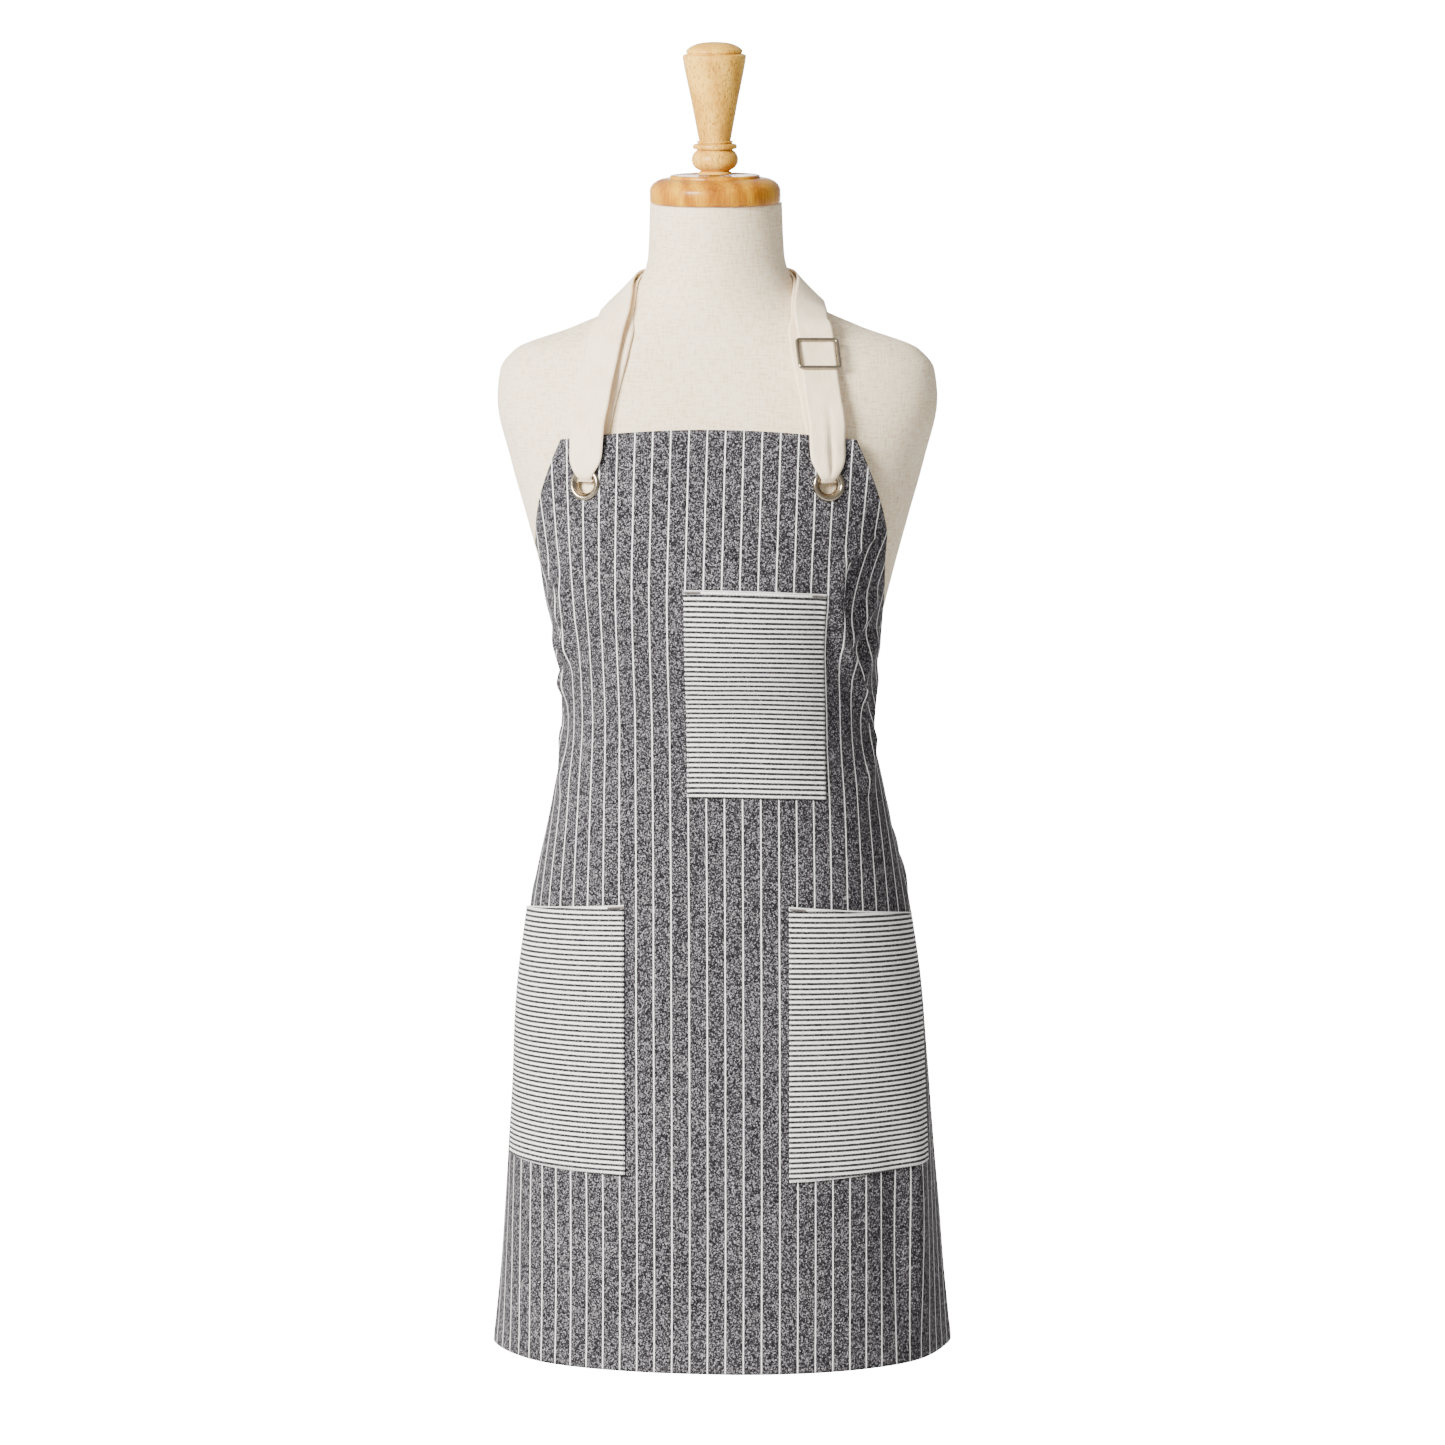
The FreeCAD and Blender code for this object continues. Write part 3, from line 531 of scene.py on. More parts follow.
def arc_across(x, z):
    """Distance along the section at height z from the middle of the front to x."""
    row = int(np.clip(round((z - HEIGHTS[0]) / HEIGHT_STEP), 0, len(HEIGHTS) - 1))
    side = int(np.argmax(X_TABLE[row])) + 1
    return float(np.interp(x, X_TABLE[row, :side], ARCS[:side]))


# Distance down the middle of the front, and the height that it reaches.
MIDDLE_Z = np.arange(TOP_Z, HEM_Z - 0.01, -1.0)
MIDDLE_FRONT = apron_at(MIDDLE_Z)[:, 1]
MIDDLE_V = np.concatenate([[0], np.cumsum(np.hypot(np.diff(MIDDLE_Z), np.diff(MIDDLE_FRONT)))])
LENGTH = float(MIDDLE_V[-1])
# Half width of the cut at distances below the bib's top edge.
CUT = [(0, 133), (50, 160), (100, 189), (150, 224), (200, 271), (232, 315), (262, 355.5), (LENGTH, 355.5)]


def half_width(v):
    rows = np.array(CUT)
    return np.interp(v, rows[:, 0], rows[:, 1])


def ridge(u, v, start, end, height, width, taper=0.25):
    """Fold along a line on the flat cloth: height high, width wide, fading at both ends."""
    a, b = np.array(start, float), np.array(end, float)
    run = b - a
    long = np.hypot(*run)
    t = ((u - a[0]) * run[0] + (v - a[1]) * run[1]) / long ** 2
    off = ((u - a[0]) * run[1] - (v - a[1]) * run[0]) / long
    fade = np.clip(t / taper, 0, 1) * np.clip((1 - t) / taper, 0, 1)
    fade = fade * fade * (3 - 2 * fade)
    return height * fade * np.exp(-(off / width) ** 2)


def hems(u, v):
    """Turned hems, a little thicker than the cloth: the bib's top, both sides and the bottom."""
    side = half_width(v) - np.abs(u)
    steps = [(side, 10.0), (v, 22.0), (LENGTH - v, 14.0)]
    return sum(0.35 / (1 + np.exp(np.clip((edge - width) / 0.9, -40, 40))) for edge, width in steps)


# Folds from each side of the bib inwards: start and end as (across, down), height and width.
SIDE_FOLDS = [((200, 128), (138, 205), 4.6, 9), ((222, 160), (150, 245), 4.2, 9),
              ((205, 150), (142, 228), -2.6, 8), ((250, 190), (168, 290), 3.4, 10),
              ((196, 262), (150, 330), 3.0, 10)]


def relief(u, v):
    """Height of the cloth's folds over its resting surface, in millimetres."""
    side = np.abs(u)
    down = np.clip((v - 430) / 420, 0, 1)
    rise = 0.9 * smooth_noise(u / 70 + 3, v / 110 + 5, 11) + 0.45 * smooth_noise(u / 26 + 9, v / 60, 12)
    flute = np.sin(u / 23.0 + 0.7 + 0.35 * np.sin(v / 90)) * np.clip((side - 150) / 120, 0, 1)
    rise = rise + 3.2 * flute * down ** 1.2
    rise = rise + 1.3 * np.sin(u / 47.0 + 0.4) * down
    rise = rise + hems(u, v)
    calm = np.clip((np.hypot(side - EYELET_PLACE[0], v - EYELET_PLACE[1]) - 15) / 30, 0, 1)
    rise = rise + ridge(u, v, (196, 560), (214, 880), 5.0, 16, 0.5)
    rise = rise - ridge(u, v, (168, 600), (178, 880), 3.2, 13, 0.5)
    for sign, grow in ((1, 1.25), (-1, 1.0)):
        s = u * sign
        for start, end, height, width in SIDE_FOLDS:
            rise = rise + grow * ridge(s, v, start, end, height, width)
        for k in range(5):
            rise = rise + ridge(s, v, (350, 262 + 10 * k), (225 - 6 * k, 255 + 46 * k), 3.0, 8, 0.4)
    return rise * calm


# Pleats where the bib's slack folds in below the bust: across and up along each pleat's edge.
PLEATS = {1: [(149, 596), (120, 566), (114, 530), (119, 494), (130, 458), (136, 410)],
          -1: [(160, 594), (146, 566), (131, 542), (126, 514), (129, 486), (134, 456), (136, 415)]}
PLEAT_TUCK = {1: 19.0, -1: 20.0}
PLEAT_RISE = {1: 7.0, -1: 5.0}
PLEAT_DROOP = 12.0          # how far the cross grain has sunk at the pleats


def pleat_lines():
    """Each pleat's edge as flat places: rows of distance down the cloth and distance across it."""
    lines = {}
    for way, points in PLEATS.items():
        places = []
        for x, z in points:
            places.append((float(np.interp(-z - PLEAT_DROOP, -MIDDLE_Z, MIDDLE_V)), arc_across(x, z)))
        lines[way] = np.array(places)
    return lines


PLEAT_LINES = pleat_lines()


def pleat(u, v):
    """How much cloth a pleat has tucked away at each flat place, and how far the cloth stands up."""
    tucked, raised = np.zeros_like(u), np.zeros_like(u)
    for way, line in PLEAT_LINES.items():
        t = np.clip((v - line[0, 0]) / (line[-1, 0] - line[0, 0]), 0, 1)
        strength = np.clip(np.sin(math.pi * t), 0, 1) ** 0.85
        past = u * way - np.interp(v, line[:, 0], line[:, 1])
        tuck = PLEAT_TUCK[way] * strength
        step = np.clip(past / (tuck + 4), 0, 1)
        step = step * step * (3 - 2 * step)
        on_side = u * way > 0
        tucked += np.where(on_side, tuck * step, 0.0)
        ahead = np.exp(-(np.minimum(past, 0) / 13.0) ** 2)
        raised += np.where(on_side, PLEAT_RISE[way] * strength * ahead * (1 - step), 0.0)
    return tucked, raised


def droop(z, q):
    """How far the cloth's cross grain sinks towards the sides."""
    drop = 39 * np.clip((z - 20) / 667, 0, 1)
    beyond = 1 + 0.3 * (1 - np.exp(-(q - 1) / 0.15))
    return drop * np.where(q < 1, q * q, beyond)


def on_apron(u, v, lift=0.0, folds=True):
    """Cloth points, in metres, from flat places in millimetres: u across from the middle, v down."""
    u, v = np.asarray(u, float), np.asarray(v, float)
    z0 = np.interp(v, MIDDLE_V, MIDDLE_Z)
    measures = apron_at(z0)
    quarter = 0.5 * math.pi * np.sqrt((measures[..., 0] ** 2 + measures[..., 1] ** 2) / 2)
    z = z0 - droop(z0, np.abs(u) / quarter)
    side = np.where(u < 0, -1.0, 1.0)
    tucked, raised = pleat(u, v)
    s = np.abs(u) - tucked

    def place(z, s):
        return np.stack([side * look_up(X_TABLE, z, s), look_up(Y_TABLE, z, s), z], -1)

    point = place(z, s)
    ahead = place(z, s + 2) - place(z, s - 2)
    near = s < 2
    ahead[near] = np.array([4.0, 0, 0]) * side[near][:, None]
    up = place(z + 3, s) - place(z - 3, s)
    out = np.cross(ahead * side[..., None], up)
    out /= np.linalg.norm(out, axis=-1, keepdims=True)
    height = lift + (relief(u, v) + raised if folds else 0.0)
    return (point + out * np.asarray(height)[..., None]) * MM


def flat_down(u, z):
    """Flat place at u across whose cloth hangs at height z."""
    v = np.linspace(0, LENGTH, 600)
    height = on_apron(np.full_like(v, u), v, folds=False)[:, 2] / MM
    return u, float(np.interp(-z, -height, v))


def flat_place(x, z):
    """Flat place, in millimetres, of the cloth point that hangs at x and height z on the front."""
    return flat_down(math.copysign(arc_across(abs(x), z), x), z)


GROMMET = (107.0, 639.0)     # across and up, on the bib's face
HOLE_R = 8.0
RING_R = 14.5
EYELET_PLACE = flat_place(*GROMMET)


def apron_cloth():
    v = np.concatenate([np.arange(0, 330, 3.2), np.linspace(330, LENGTH, 150)])
    share = np.linspace(-1, 1, 191)
    width = half_width(v)
    u = width[:, None] * share[None]
    vv = v[:, None] * np.ones_like(u)
    points = on_apron(u, vv)
    lean = np.interp(vv, (0, 300), (-1.4, 1.9))
    uv = np.stack([u + lean, vv], 2) * MM
    hole = np.hypot(np.abs(u) - EYELET_PLACE[0], vv - EYELET_PLACE[1]) < HOLE_R + 4.5
    cloth = grid_object("apron_cloth", points, PINSTRIPE, uv=uv, slot="pinstripe_cotton", turned=True,
                        skip=hole)
    thicken(cloth, 1.0 * MM)
    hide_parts("apron_panel")


# ---- Pockets, sewn on the cloth ----
CHEST_GAPE = 3.4
HIP_GAPE = 5.0
SEWN = 1.5                  # outer face of a sewn pocket edge over the apron cloth
# Corners as across and up on the front: inner top, outer top, inner bottom, outer bottom.
CHEST_TOP, CHEST_BOTTOM = flat_place(0, 550)[1], flat_place(0, 362)[1]
CHEST_LEFT, CHEST_RIGHT = flat_place(-17, 455)[0], flat_place(102.5, 500)[0]
CHEST = [(CHEST_LEFT, CHEST_TOP), (CHEST_RIGHT, CHEST_TOP),
         (CHEST_LEFT - 1.5, CHEST_BOTTOM), (CHEST_RIGHT - 4, CHEST_BOTTOM)]
HIP_ARC = 222.0
HIP_LEFT = [flat_place(70, 264), flat_down(HIP_ARC, 243), flat_place(70, 18), flat_down(HIP_ARC, 24)]
HIP_RIGHT = [flat_place(-76, 264), flat_down(-HIP_ARC, 246), flat_place(-76, 22), flat_down(-HIP_ARC, 26)]


def pocket_places(corners, columns, rows):
    """Flat grid between four corners, and its shares across and down."""
    a, b, c, d = (np.array(p) for p in corners)
    across = np.linspace(0, 1, columns)[None, :, None]
    down = np.linspace(0, 1, rows)[:, None, None]
    flat = (a * (1 - across) + b * across) * (1 - down) + (c * (1 - across) + d * across) * down
    return flat, across[..., 0] + 0 * down[..., 0], down[..., 0] + 0 * across[..., 0]


def pocket_lift(across, down, gape, seed):
    """Outer face of the pocket over the apron: sewn flat at three edges, standing off at the mouth."""
    belly = np.clip(np.sin(math.pi * across), 0, 1) ** 0.8
    off = gape * belly * np.clip(1 - down, 0, 1) ** 1.6
    soft = 0.7 * belly * np.sin(math.pi * down) * smooth_noise(across * 4 + seed, down * 5, seed)
    edge = 0.35 * np.exp(-((across * (1 - across) - 0.012) / 0.012) ** 2)
    return SEWN + off + soft + edge


def pocket(name, node, corners, gape, seed):
    flat, across, down = pocket_places(corners, 61, 81)
    lift = pocket_lift(across, down, gape, seed)
    points = on_apron(flat[..., 0], flat[..., 1], lift)
    uv = (flat - np.array(corners[0])) * MM
    cloth = grid_object(name, points, TICKING, uv=uv, slot="ticking_cotton",
                        turned=corners[1][0] > corners[0][0])
    thicken(cloth, 0.9 * MM)
    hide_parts(node)
    width = abs(corners[1][0] - corners[0][0]) * MM
    length = max(corners[2][1] - corners[0][1], corners[3][1] - corners[1][1]) * MM

    def place(share, fall, extra):
        a, b, c, d = (np.array(p) for p in corners)
        share, fall = np.asarray(share, float)[:, None], np.asarray(fall, float)[:, None]
        where = (a * (1 - share) + b * share) * (1 - fall) + (c * (1 - share) + d * share) * fall
        height = pocket_lift(share[:, 0], fall[:, 0], gape, seed) + extra
        return on_apron(where[:, 0], where[:, 1], height) / MM
    return place, width / MM, length / MM


def roll(name, points, radius, material, slot):
    """Thin rolled edge that follows a line of points in millimetres."""
    points = np.array(points, float)
    ahead = np.gradient(points, axis=0)
    ahead /= np.linalg.norm(ahead, axis=1, keepdims=True)
    side = np.cross(ahead, [0, 0, 1.0])
    side /= np.linalg.norm(side, axis=1, keepdims=True)
    up = np.cross(side, ahead)
    angle = np.linspace(0, 2 * math.pi, 10, endpoint=False)
    ring = side[:, None] * np.cos(angle)[None, :, None] + up[:, None] * np.sin(angle)[None, :, None]
    length = np.concatenate([[0], np.cumsum(np.linalg.norm(np.diff(points, axis=0), axis=1))])
    uv = np.stack(np.broadcast_arrays(length[:, None], angle[None] * radius), 2) * MM
    return grid_object(name, (points[:, None] + ring * radius) * MM, material, uv=uv, slot=slot,
                       close_columns=True)


# ---- Stitches ----
def stitches(name, starts, ends, rises, width, height, material, slot="bartack_thread"):
    """One grain-shaped stitch from each start to its end, all in millimetres."""
    starts, ends, rises = (np.concatenate(part) for part in (starts, ends, rises))
    middle = (starts + ends) / 2
    side = np.cross(ends - starts, rises)
    side /= np.linalg.norm(side, axis=1, keepdims=True)
    corners = [starts, middle + side * width / 2, ends, middle - side * width / 2,
               middle + rises * height, middle - rises * height]
    points = np.stack(corners, 1).reshape(-1, 3) * MM
    grain = [(0, 1, 4), (1, 2, 4), (2, 3, 4), (3, 0, 4), (1, 0, 5), (2, 1, 5), (3, 2, 5), (0, 3, 5)]
    faces = [tuple(6 * i + k for k in face) for i in range(len(starts)) for face in grain]
    return new_object(name, points, faces, material, slot=slot)


def run_stitches(place, start, end, distance, pitch, length):
    """Starts, ends and rises of a straight row of stitches on the surface place(share, fall, extra)."""
    count = max(2, int(distance / pitch))
    t = (np.arange(count) + 0.5) / count
    half = 0.5 * length / distance
    start, end = np.array(start, float), np.array(end, float)

    def at(t, extra):
        spot = start + (end - start) * t[:, None]
        return place(spot[:, 0], spot[:, 1], extra)
    rise = at(t, 1.0) - at(t, 0.0)
    rise /= np.linalg.norm(rise, axis=1, keepdims=True)
    return at(t - half, 0.12), at(t + half, 0.12), rise


def sew_pockets(pockets):
    """Edge rows, inner rows and mouth rows of each pocket, its white mouth roll and its bar tacks."""
    edge_rows, pale_rows, tack_rows = [], [], []
    for name, (place, width, length), tack_corners in pockets:
        near, inner = 1.2 / width, 11.0 / width
        edge_rows.append(run_stitches(place, (near, 0.02), (near, 0.995), length, 3.0, 2.1))
        edge_rows.append(run_stitches(place, (1 - near, 0.02), (1 - near, 0.995), length, 3.0, 2.1))
        foot = 1 - 1.2 / length
        edge_rows.append(run_stitches(place, (0.01, foot), (0.99, foot), width, 3.0, 2.1))
        pale_rows.append(run_stitches(place, (inner, 0.03), (inner, 0.99), length, 2.8, 2.0))
        pale_rows.append(run_stitches(place, (1 - inner, 0.03), (1 - inner, 0.99), length, 2.8, 2.0))
        edge_rows.append(run_stitches(place, (0.02, 2.6 / length), (0.98, 2.6 / length), width, 2.8, 1.9))
        t = np.linspace(0.0, 1.0, 120)
        roll(name + "_mouth_roll", place(t, 0 * t, -0.2), 0.62, WHITE_COTTON, "ticking_cotton")
        for corner in tack_corners:
            start = corner * (1 - 14.5 / width) + 0.4 / width
            t = start + np.arange(0, 14.0, 0.62) / width
            top, bottom = 0.3 / length, 3.0 / length
            a, b = place(t, top + 0 * t, 0.75), place(t + 0.5 / width, bottom + 0 * t, 0.75)
            rise = place(t, top + 0 * t, 1.8) - a
            tack_rows.append((a, b, rise / np.linalg.norm(rise, axis=1, keepdims=True)))
    stitches("pocket_edge_stitches", *zip(*edge_rows), 0.75, 0.32, GREY_THREAD)
    stitches("pocket_inner_stitches", *zip(*pale_rows), 0.45, 0.2, GREY_THREAD)
    tacks = stitches("pocket_bartack_threads", *zip(*tack_rows), 0.95, 0.55, DARK_THREAD)
    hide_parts("pocket_bartacks")


# ---- Eyelets ----
def bib_frame():
    """Centre of the wearer's left eyelet on the bib's outer face, and the face's outward direction."""
    def face(x, z):
        half, front, _ = apron_at(z)
        power = float(squareness(z))
        return np.array([x, -front * (1 - (x / half) ** power) ** (1 / power), z])
    x, z = GROMMET
    outward = np.cross(face(x, z + 5) - face(x, z - 5), face(x - 5, z) - face(x + 5, z))
    outward /= np.linalg.norm(outward)
    return face(x, z), outward if outward[1] < 0 else -outward


def arc(centre, radius, start, end, steps=8):
    """Points of a round profile from one angle to another, in degrees."""
    angle = np.radians(np.linspace(start, end, steps))
    return [(centre[0] + radius * math.cos(a), centre[1] + radius * math.sin(a)) for a in angle]


def eyelets():
    centre, outward = bib_frame()
    ring = [(HOLE_R, -3.6), (HOLE_R, -2.0)] + smooth_path([(8.1, -1.4), (8.8, -0.4), (10.0, 0.9)], 5).tolist()
    ring += arc((RING_R - 2.3, 0.1), 2.3, 150, 0, 12) + [(RING_R - 0.3, 0.03), (HOLE_R + 1.6, 0.0)]
    ring += [(HOLE_R + 0.8, -1.0), (HOLE_R + 0.8, -3.6)]
    washer = [(HOLE_R + 1, -3.1), (HOLE_R + 1, -2.2), (RING_R - 1.4, -2.1), (RING_R - 1, -2.4),
              (RING_R - 1, -3.0)]
    for side, way in (("left", 1), ("right", -1)):
        at = centre * np.array([way, 1, 1]) * MM
        axis = outward * np.array([way, 1, 1])
        for node, profile in (("eyelet_", ring), ("eyelet_washer_", washer)):
            piece = lathe(node + "ring_" + side, profile + profile[:1], at, NICKEL, "nickel", axis=axis)
            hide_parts(node + side)


# ---- Strap, slider and ties ----
STRAP_W = 32.0
STRAP_T = 1.5
CLEAR = 0.3
STRAIGHT_LOW = (97.5, -82, 722)
STRAIGHT_HIGH = (89, -55, 766)
STRAIGHT_RISE = (10.0, 9.5)
SHOULDER = [(85, -45, 777), (81, -29, 783), (77, -14, 787), (72, 0, 790), (66, 12, 793), (59, 24, 795),
            (50, 34, 796), (40, 44, 795), (28, 52, 794), (14, 58, 793), (0, 61, 792)]
BACK_GAP = 0.9
FRONT_GAP = 3.2
SLIDER_AT = 0.52


def unit(vector):
    return vector / np.linalg.norm(vector)


def straight_stretch():
    low, outward_low = skin(STRAIGHT_LOW, STRAIGHT_RISE[0])
    high, outward_high = skin(STRAIGHT_HIGH, STRAIGHT_RISE[1])
    ahead = unit(high - low)
    outward = outward_low + outward_high
    return low, high, ahead, unit(outward - ahead * (outward @ ahead))


def settle(rows, gaps):
    """Moves the last (centre, outward, width) rows, one for each gap, until their edges clear the form."""
    rows = [list(row) for row in rows]
    for i, gap in enumerate(gaps, len(rows) - len(gaps)):
        centre, outward, width = rows[i]
        ahead = rows[min(i + 1, len(rows) - 1)][0] - rows[i - 1 if i else 0][0]
        across = unit(np.cross(ahead, outward))
        for _ in range(4):
            edges = [centre + across * share * width / 2 - outward * STRAP_T / 2
                     for share in (-1, -0.5, 0, 0.5, 1)]
            centre = centre + outward * (gap - min(level(p) / np.linalg.norm(uphill(p)) for p in edges))
        rows[i][0] = centre
    return rows


def flip(rows):
    mirror = np.array([-1.0, 1, 1])
    return [[centre * mirror, outward * mirror, width] for centre, outward, width in rows]


def tape(rows, thickness, name, per=6, columns=15, closed=False, cup=None):
    """Woven tape through (centre, outward, width) rows, smoothed, with an optional relief across it."""
    table = np.array([[*centre, *outward, width] for centre, outward, width in rows])
    if closed:
        table = np.vstack([table, table[:1]])
    fine = smooth_path(table, per)
    centre, outward, width = fine[:, :3], fine[:, 3:6], fine[:, 6]
    if closed:
        centre, outward, width = centre[:-1], outward[:-1], width[:-1]
        ahead = np.roll(centre, -1, 0) - np.roll(centre, 1, 0)
    else:
        ahead = np.gradient(centre, axis=0)
    across = np.cross(ahead, outward)
    across /= np.linalg.norm(across, axis=1, keepdims=True)
    outward = np.cross(across, ahead)
    outward /= np.linalg.norm(outward, axis=1, keepdims=True)
    share = np.linspace(-0.5, 0.5, columns)
    place = centre[:, None] + across[:, None] * (share[None, :, None] * width[:, None, None])
    length = np.concatenate([[0], np.cumsum(np.linalg.norm(np.diff(centre, axis=0), axis=1))])
    if cup is not None:
        place = place + outward[:, None] * cup(length[:, None], share[None], centre[:, None])[..., None]
    uv = np.stack(np.broadcast_arrays(share[None] * width.max(), length[:, None]), 2) * MM
    piece = grid_object(name, place * MM, TAPE, uv=uv, slot="cream_tape", close_rows=closed)
    thicken(piece, thickness * MM, offset=0.0)
    return piece, float(length[-1])


def front_rows():
    """Front layer of the strap, from inside the wearer's left eyelet to the back of the neck."""
    low, high, _, outward = straight_stretch()
    eye, face = bib_frame()
    up = unit(np.array([0, 0, 1.0]) - face * face[2])
    rows = [[eye + up * 4.0 + face * 0.4, unit(face - 2 * up), 12.5],
            [eye + up * 6.6 + face * 2.9, unit(face * 2 - up), 15.5],
            [eye + up * 11 + face * 4.0, face, 20.5],
            [eye + up * 17 + face * 3.6, face, 27.0],
            [eye + up * 24 + face * 2.8, face, 31.0],
            [eye + up * 36 + face * 2.4, face, STRAP_W]]
    for point, rise in (((103.5, -97, 690), 12.2), ((100.5, -90, 706), 11.0)):
        rows.append([*skin(point, rise), STRAP_W])
    rows += [[low, outward, STRAP_W], [low + (high - low) / 2, outward, STRAP_W], [high, outward, STRAP_W]]
    shoulder = [[*skin(point, FRONT_GAP), STRAP_W] for point in SHOULDER]
    return settle(rows + shoulder, np.interp(range(len(SHOULDER)), (0, 6), (7.0, FRONT_GAP)))


def back_rows():
    """Back layer, from behind the bib to the back of the neck, a little nearer to the neck in front."""
    run = [(105, -95, 649, 20), (103, -92, 661, 26), (101, -90, 676, 31), (99, -88, 690, 32),
           (96, -84, 706, 32), (93, -80, 722, 32), (90, -75, 736, 32), (87.5, -70, 748, 32),
           (85.5, -64, 759, 32), (84, -57, 768, 32)]
    rows = [[*skin(point[:3], BACK_GAP), point[3]] for point in run]
    rows += [[*skin(point, BACK_GAP), STRAP_W] for point in SHOULDER]
    return settle(rows, [BACK_GAP] * len(rows))


def neck_strap():
    eye, face = bib_frame()
    up = unit(np.array([0, 0, 1.0]) - face * face[2])
    through = [[eye + up * 2.4 - face * 1.6, -up, 13.0],
               [eye + up * 3.6 - face * 4.6, unit(-up - face), 14.5]]
    front = front_rows()
    back = [[centre, -outward, width] for centre, outward, width in back_rows()]
    rows = front + flip(front[:-1])[::-1] + flip(through) + flip(back) + back[:-1][::-1] + through[::-1]

    def pleats(length, share, centre):
        """Pucker over the wearer's left eyelet and soft curling edges beside both."""
        over = np.clip((centre[..., 2] - 645) / 10, 0, 1) * np.clip((712 - centre[..., 2]) / 40, 0, 1)
        left = (centre[..., 0] > 0) & (centre[..., 1] < -92)
        crease = -2.6 * np.exp(-((share - 0.10) / 0.07) ** 2) + 1.2 * np.exp(-((share + 0.08) / 0.10) ** 2)
        curl = -1.5 * (2 * share) ** 4 * np.clip((700 - centre[..., 2]) / 30, 0, 1) * (centre[..., 1] < -92)
        wander = 0.5 * smooth_noise(length / 18 + 5, share * 3 + 9, 21)
        wander = wander * np.clip((centre[..., 2] - 700) / 15, 0, 1)
        return np.where(left, over * crease, 0.0) + curl + wander * (centre[..., 1] < -50)
    strap, length = tape(rows, STRAP_T, "neck_strap_tape", closed=True, cup=pleats)
    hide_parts("neck_strap")


def wire(name, path, radius, axes, material, body, closed):
    """Round bar along (across, along, outward) points in millimetres, set in the given axes."""
    points = np.array(path, float) if closed else smooth_path(path, 6)
    if closed:
        ahead = np.roll(points, -1, 0) - np.roll(points, 1, 0)
    else:
        ahead = np.gradient(points, axis=0)
    ahead /= np.linalg.norm(ahead, axis=1, keepdims=True)
    side = np.array([0, 0, 1.0]) if closed else np.array([0, 1.0, 0])
    side = side - ahead * (ahead @ side)[:, None]
    side /= np.linalg.norm(side, axis=1, keepdims=True)
    up = np.cross(ahead, side)
    angle = np.linspace(0, 2 * math.pi, 16, endpoint=False)
    ring = side[:, None] * np.cos(angle)[None, :, None] + up[:, None] * np.sin(angle)[None, :, None]
    local = (points[:, None] + ring * radius)
    centre, frame_axes = axes
    return grid_object(name, (centre + local @ frame_axes) * MM, material, body=body, slot="nickel",
                       close_rows=closed, close_columns=True)


def strap_slider():
    low, high, ahead, outward = straight_stretch()
    centre = low + (high - low) * SLIDER_AT
    axes = centre, np.array([np.cross(ahead, outward), ahead, outward])
    half_w, half_l, corner, bar = 18.0, 13.8, 2.4, 1.7
    height = STRAP_T / 2 + CLEAR + bar
    outline = []
    for x, y, start in ((1, 1, 0), (-1, 1, 90), (-1, -1, 180), (1, -1, 270)):
        middle = (x * (half_w - corner), y * (half_l - corner))
        outline += arc(middle, corner, start, start + 90)
    path = []
    for i, point in enumerate(outline):
        after = outline[(i + 1) % len(outline)]
        steps = 12 if math.dist(point, after) > 5 else 1
        for k in range(steps):
            path.append((point[0] + (after[0] - point[0]) * k / steps,
                         point[1] + (after[1] - point[1]) * k / steps, height))
    frame_bar = wire("slider_frame", path, bar, axes, NICKEL, "strap_slider", True)
    behind = -(STRAP_T / 2 + CLEAR + 1.1)
    crank = [(-half_w, 0, height), (-half_w + 0.1, 0, 0), (-half_w + 1.6, 0, behind), (0, 0, behind),
             (half_w - 1.6, 0, behind), (half_w - 0.1, 0, 0), (half_w, 0, height)]
    wire("slider_bar", crank, 1.05, axes, NICKEL, "strap_slider", False)
    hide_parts("strap_slider")


KNOT = np.array([0, 97.0, 428.0])
TIE_W = 25.0
TIE_T = 1.5


def tie_rows(run, widths, upright):
    rows = []
    for i, centre in enumerate(run):
        ahead = run[min(i + 1, len(run) - 1)] - run[max(i - 1, 0)]
        if upright:
            across = unit(np.array([0, 0, 1.0]) - ahead * (ahead[2] / (ahead @ ahead)))
            outward = unit(np.cross(ahead, across))
        else:
            outward = np.array([0, 1.0, 0])
        rows.append([centre, outward, widths[i]])
    return rows


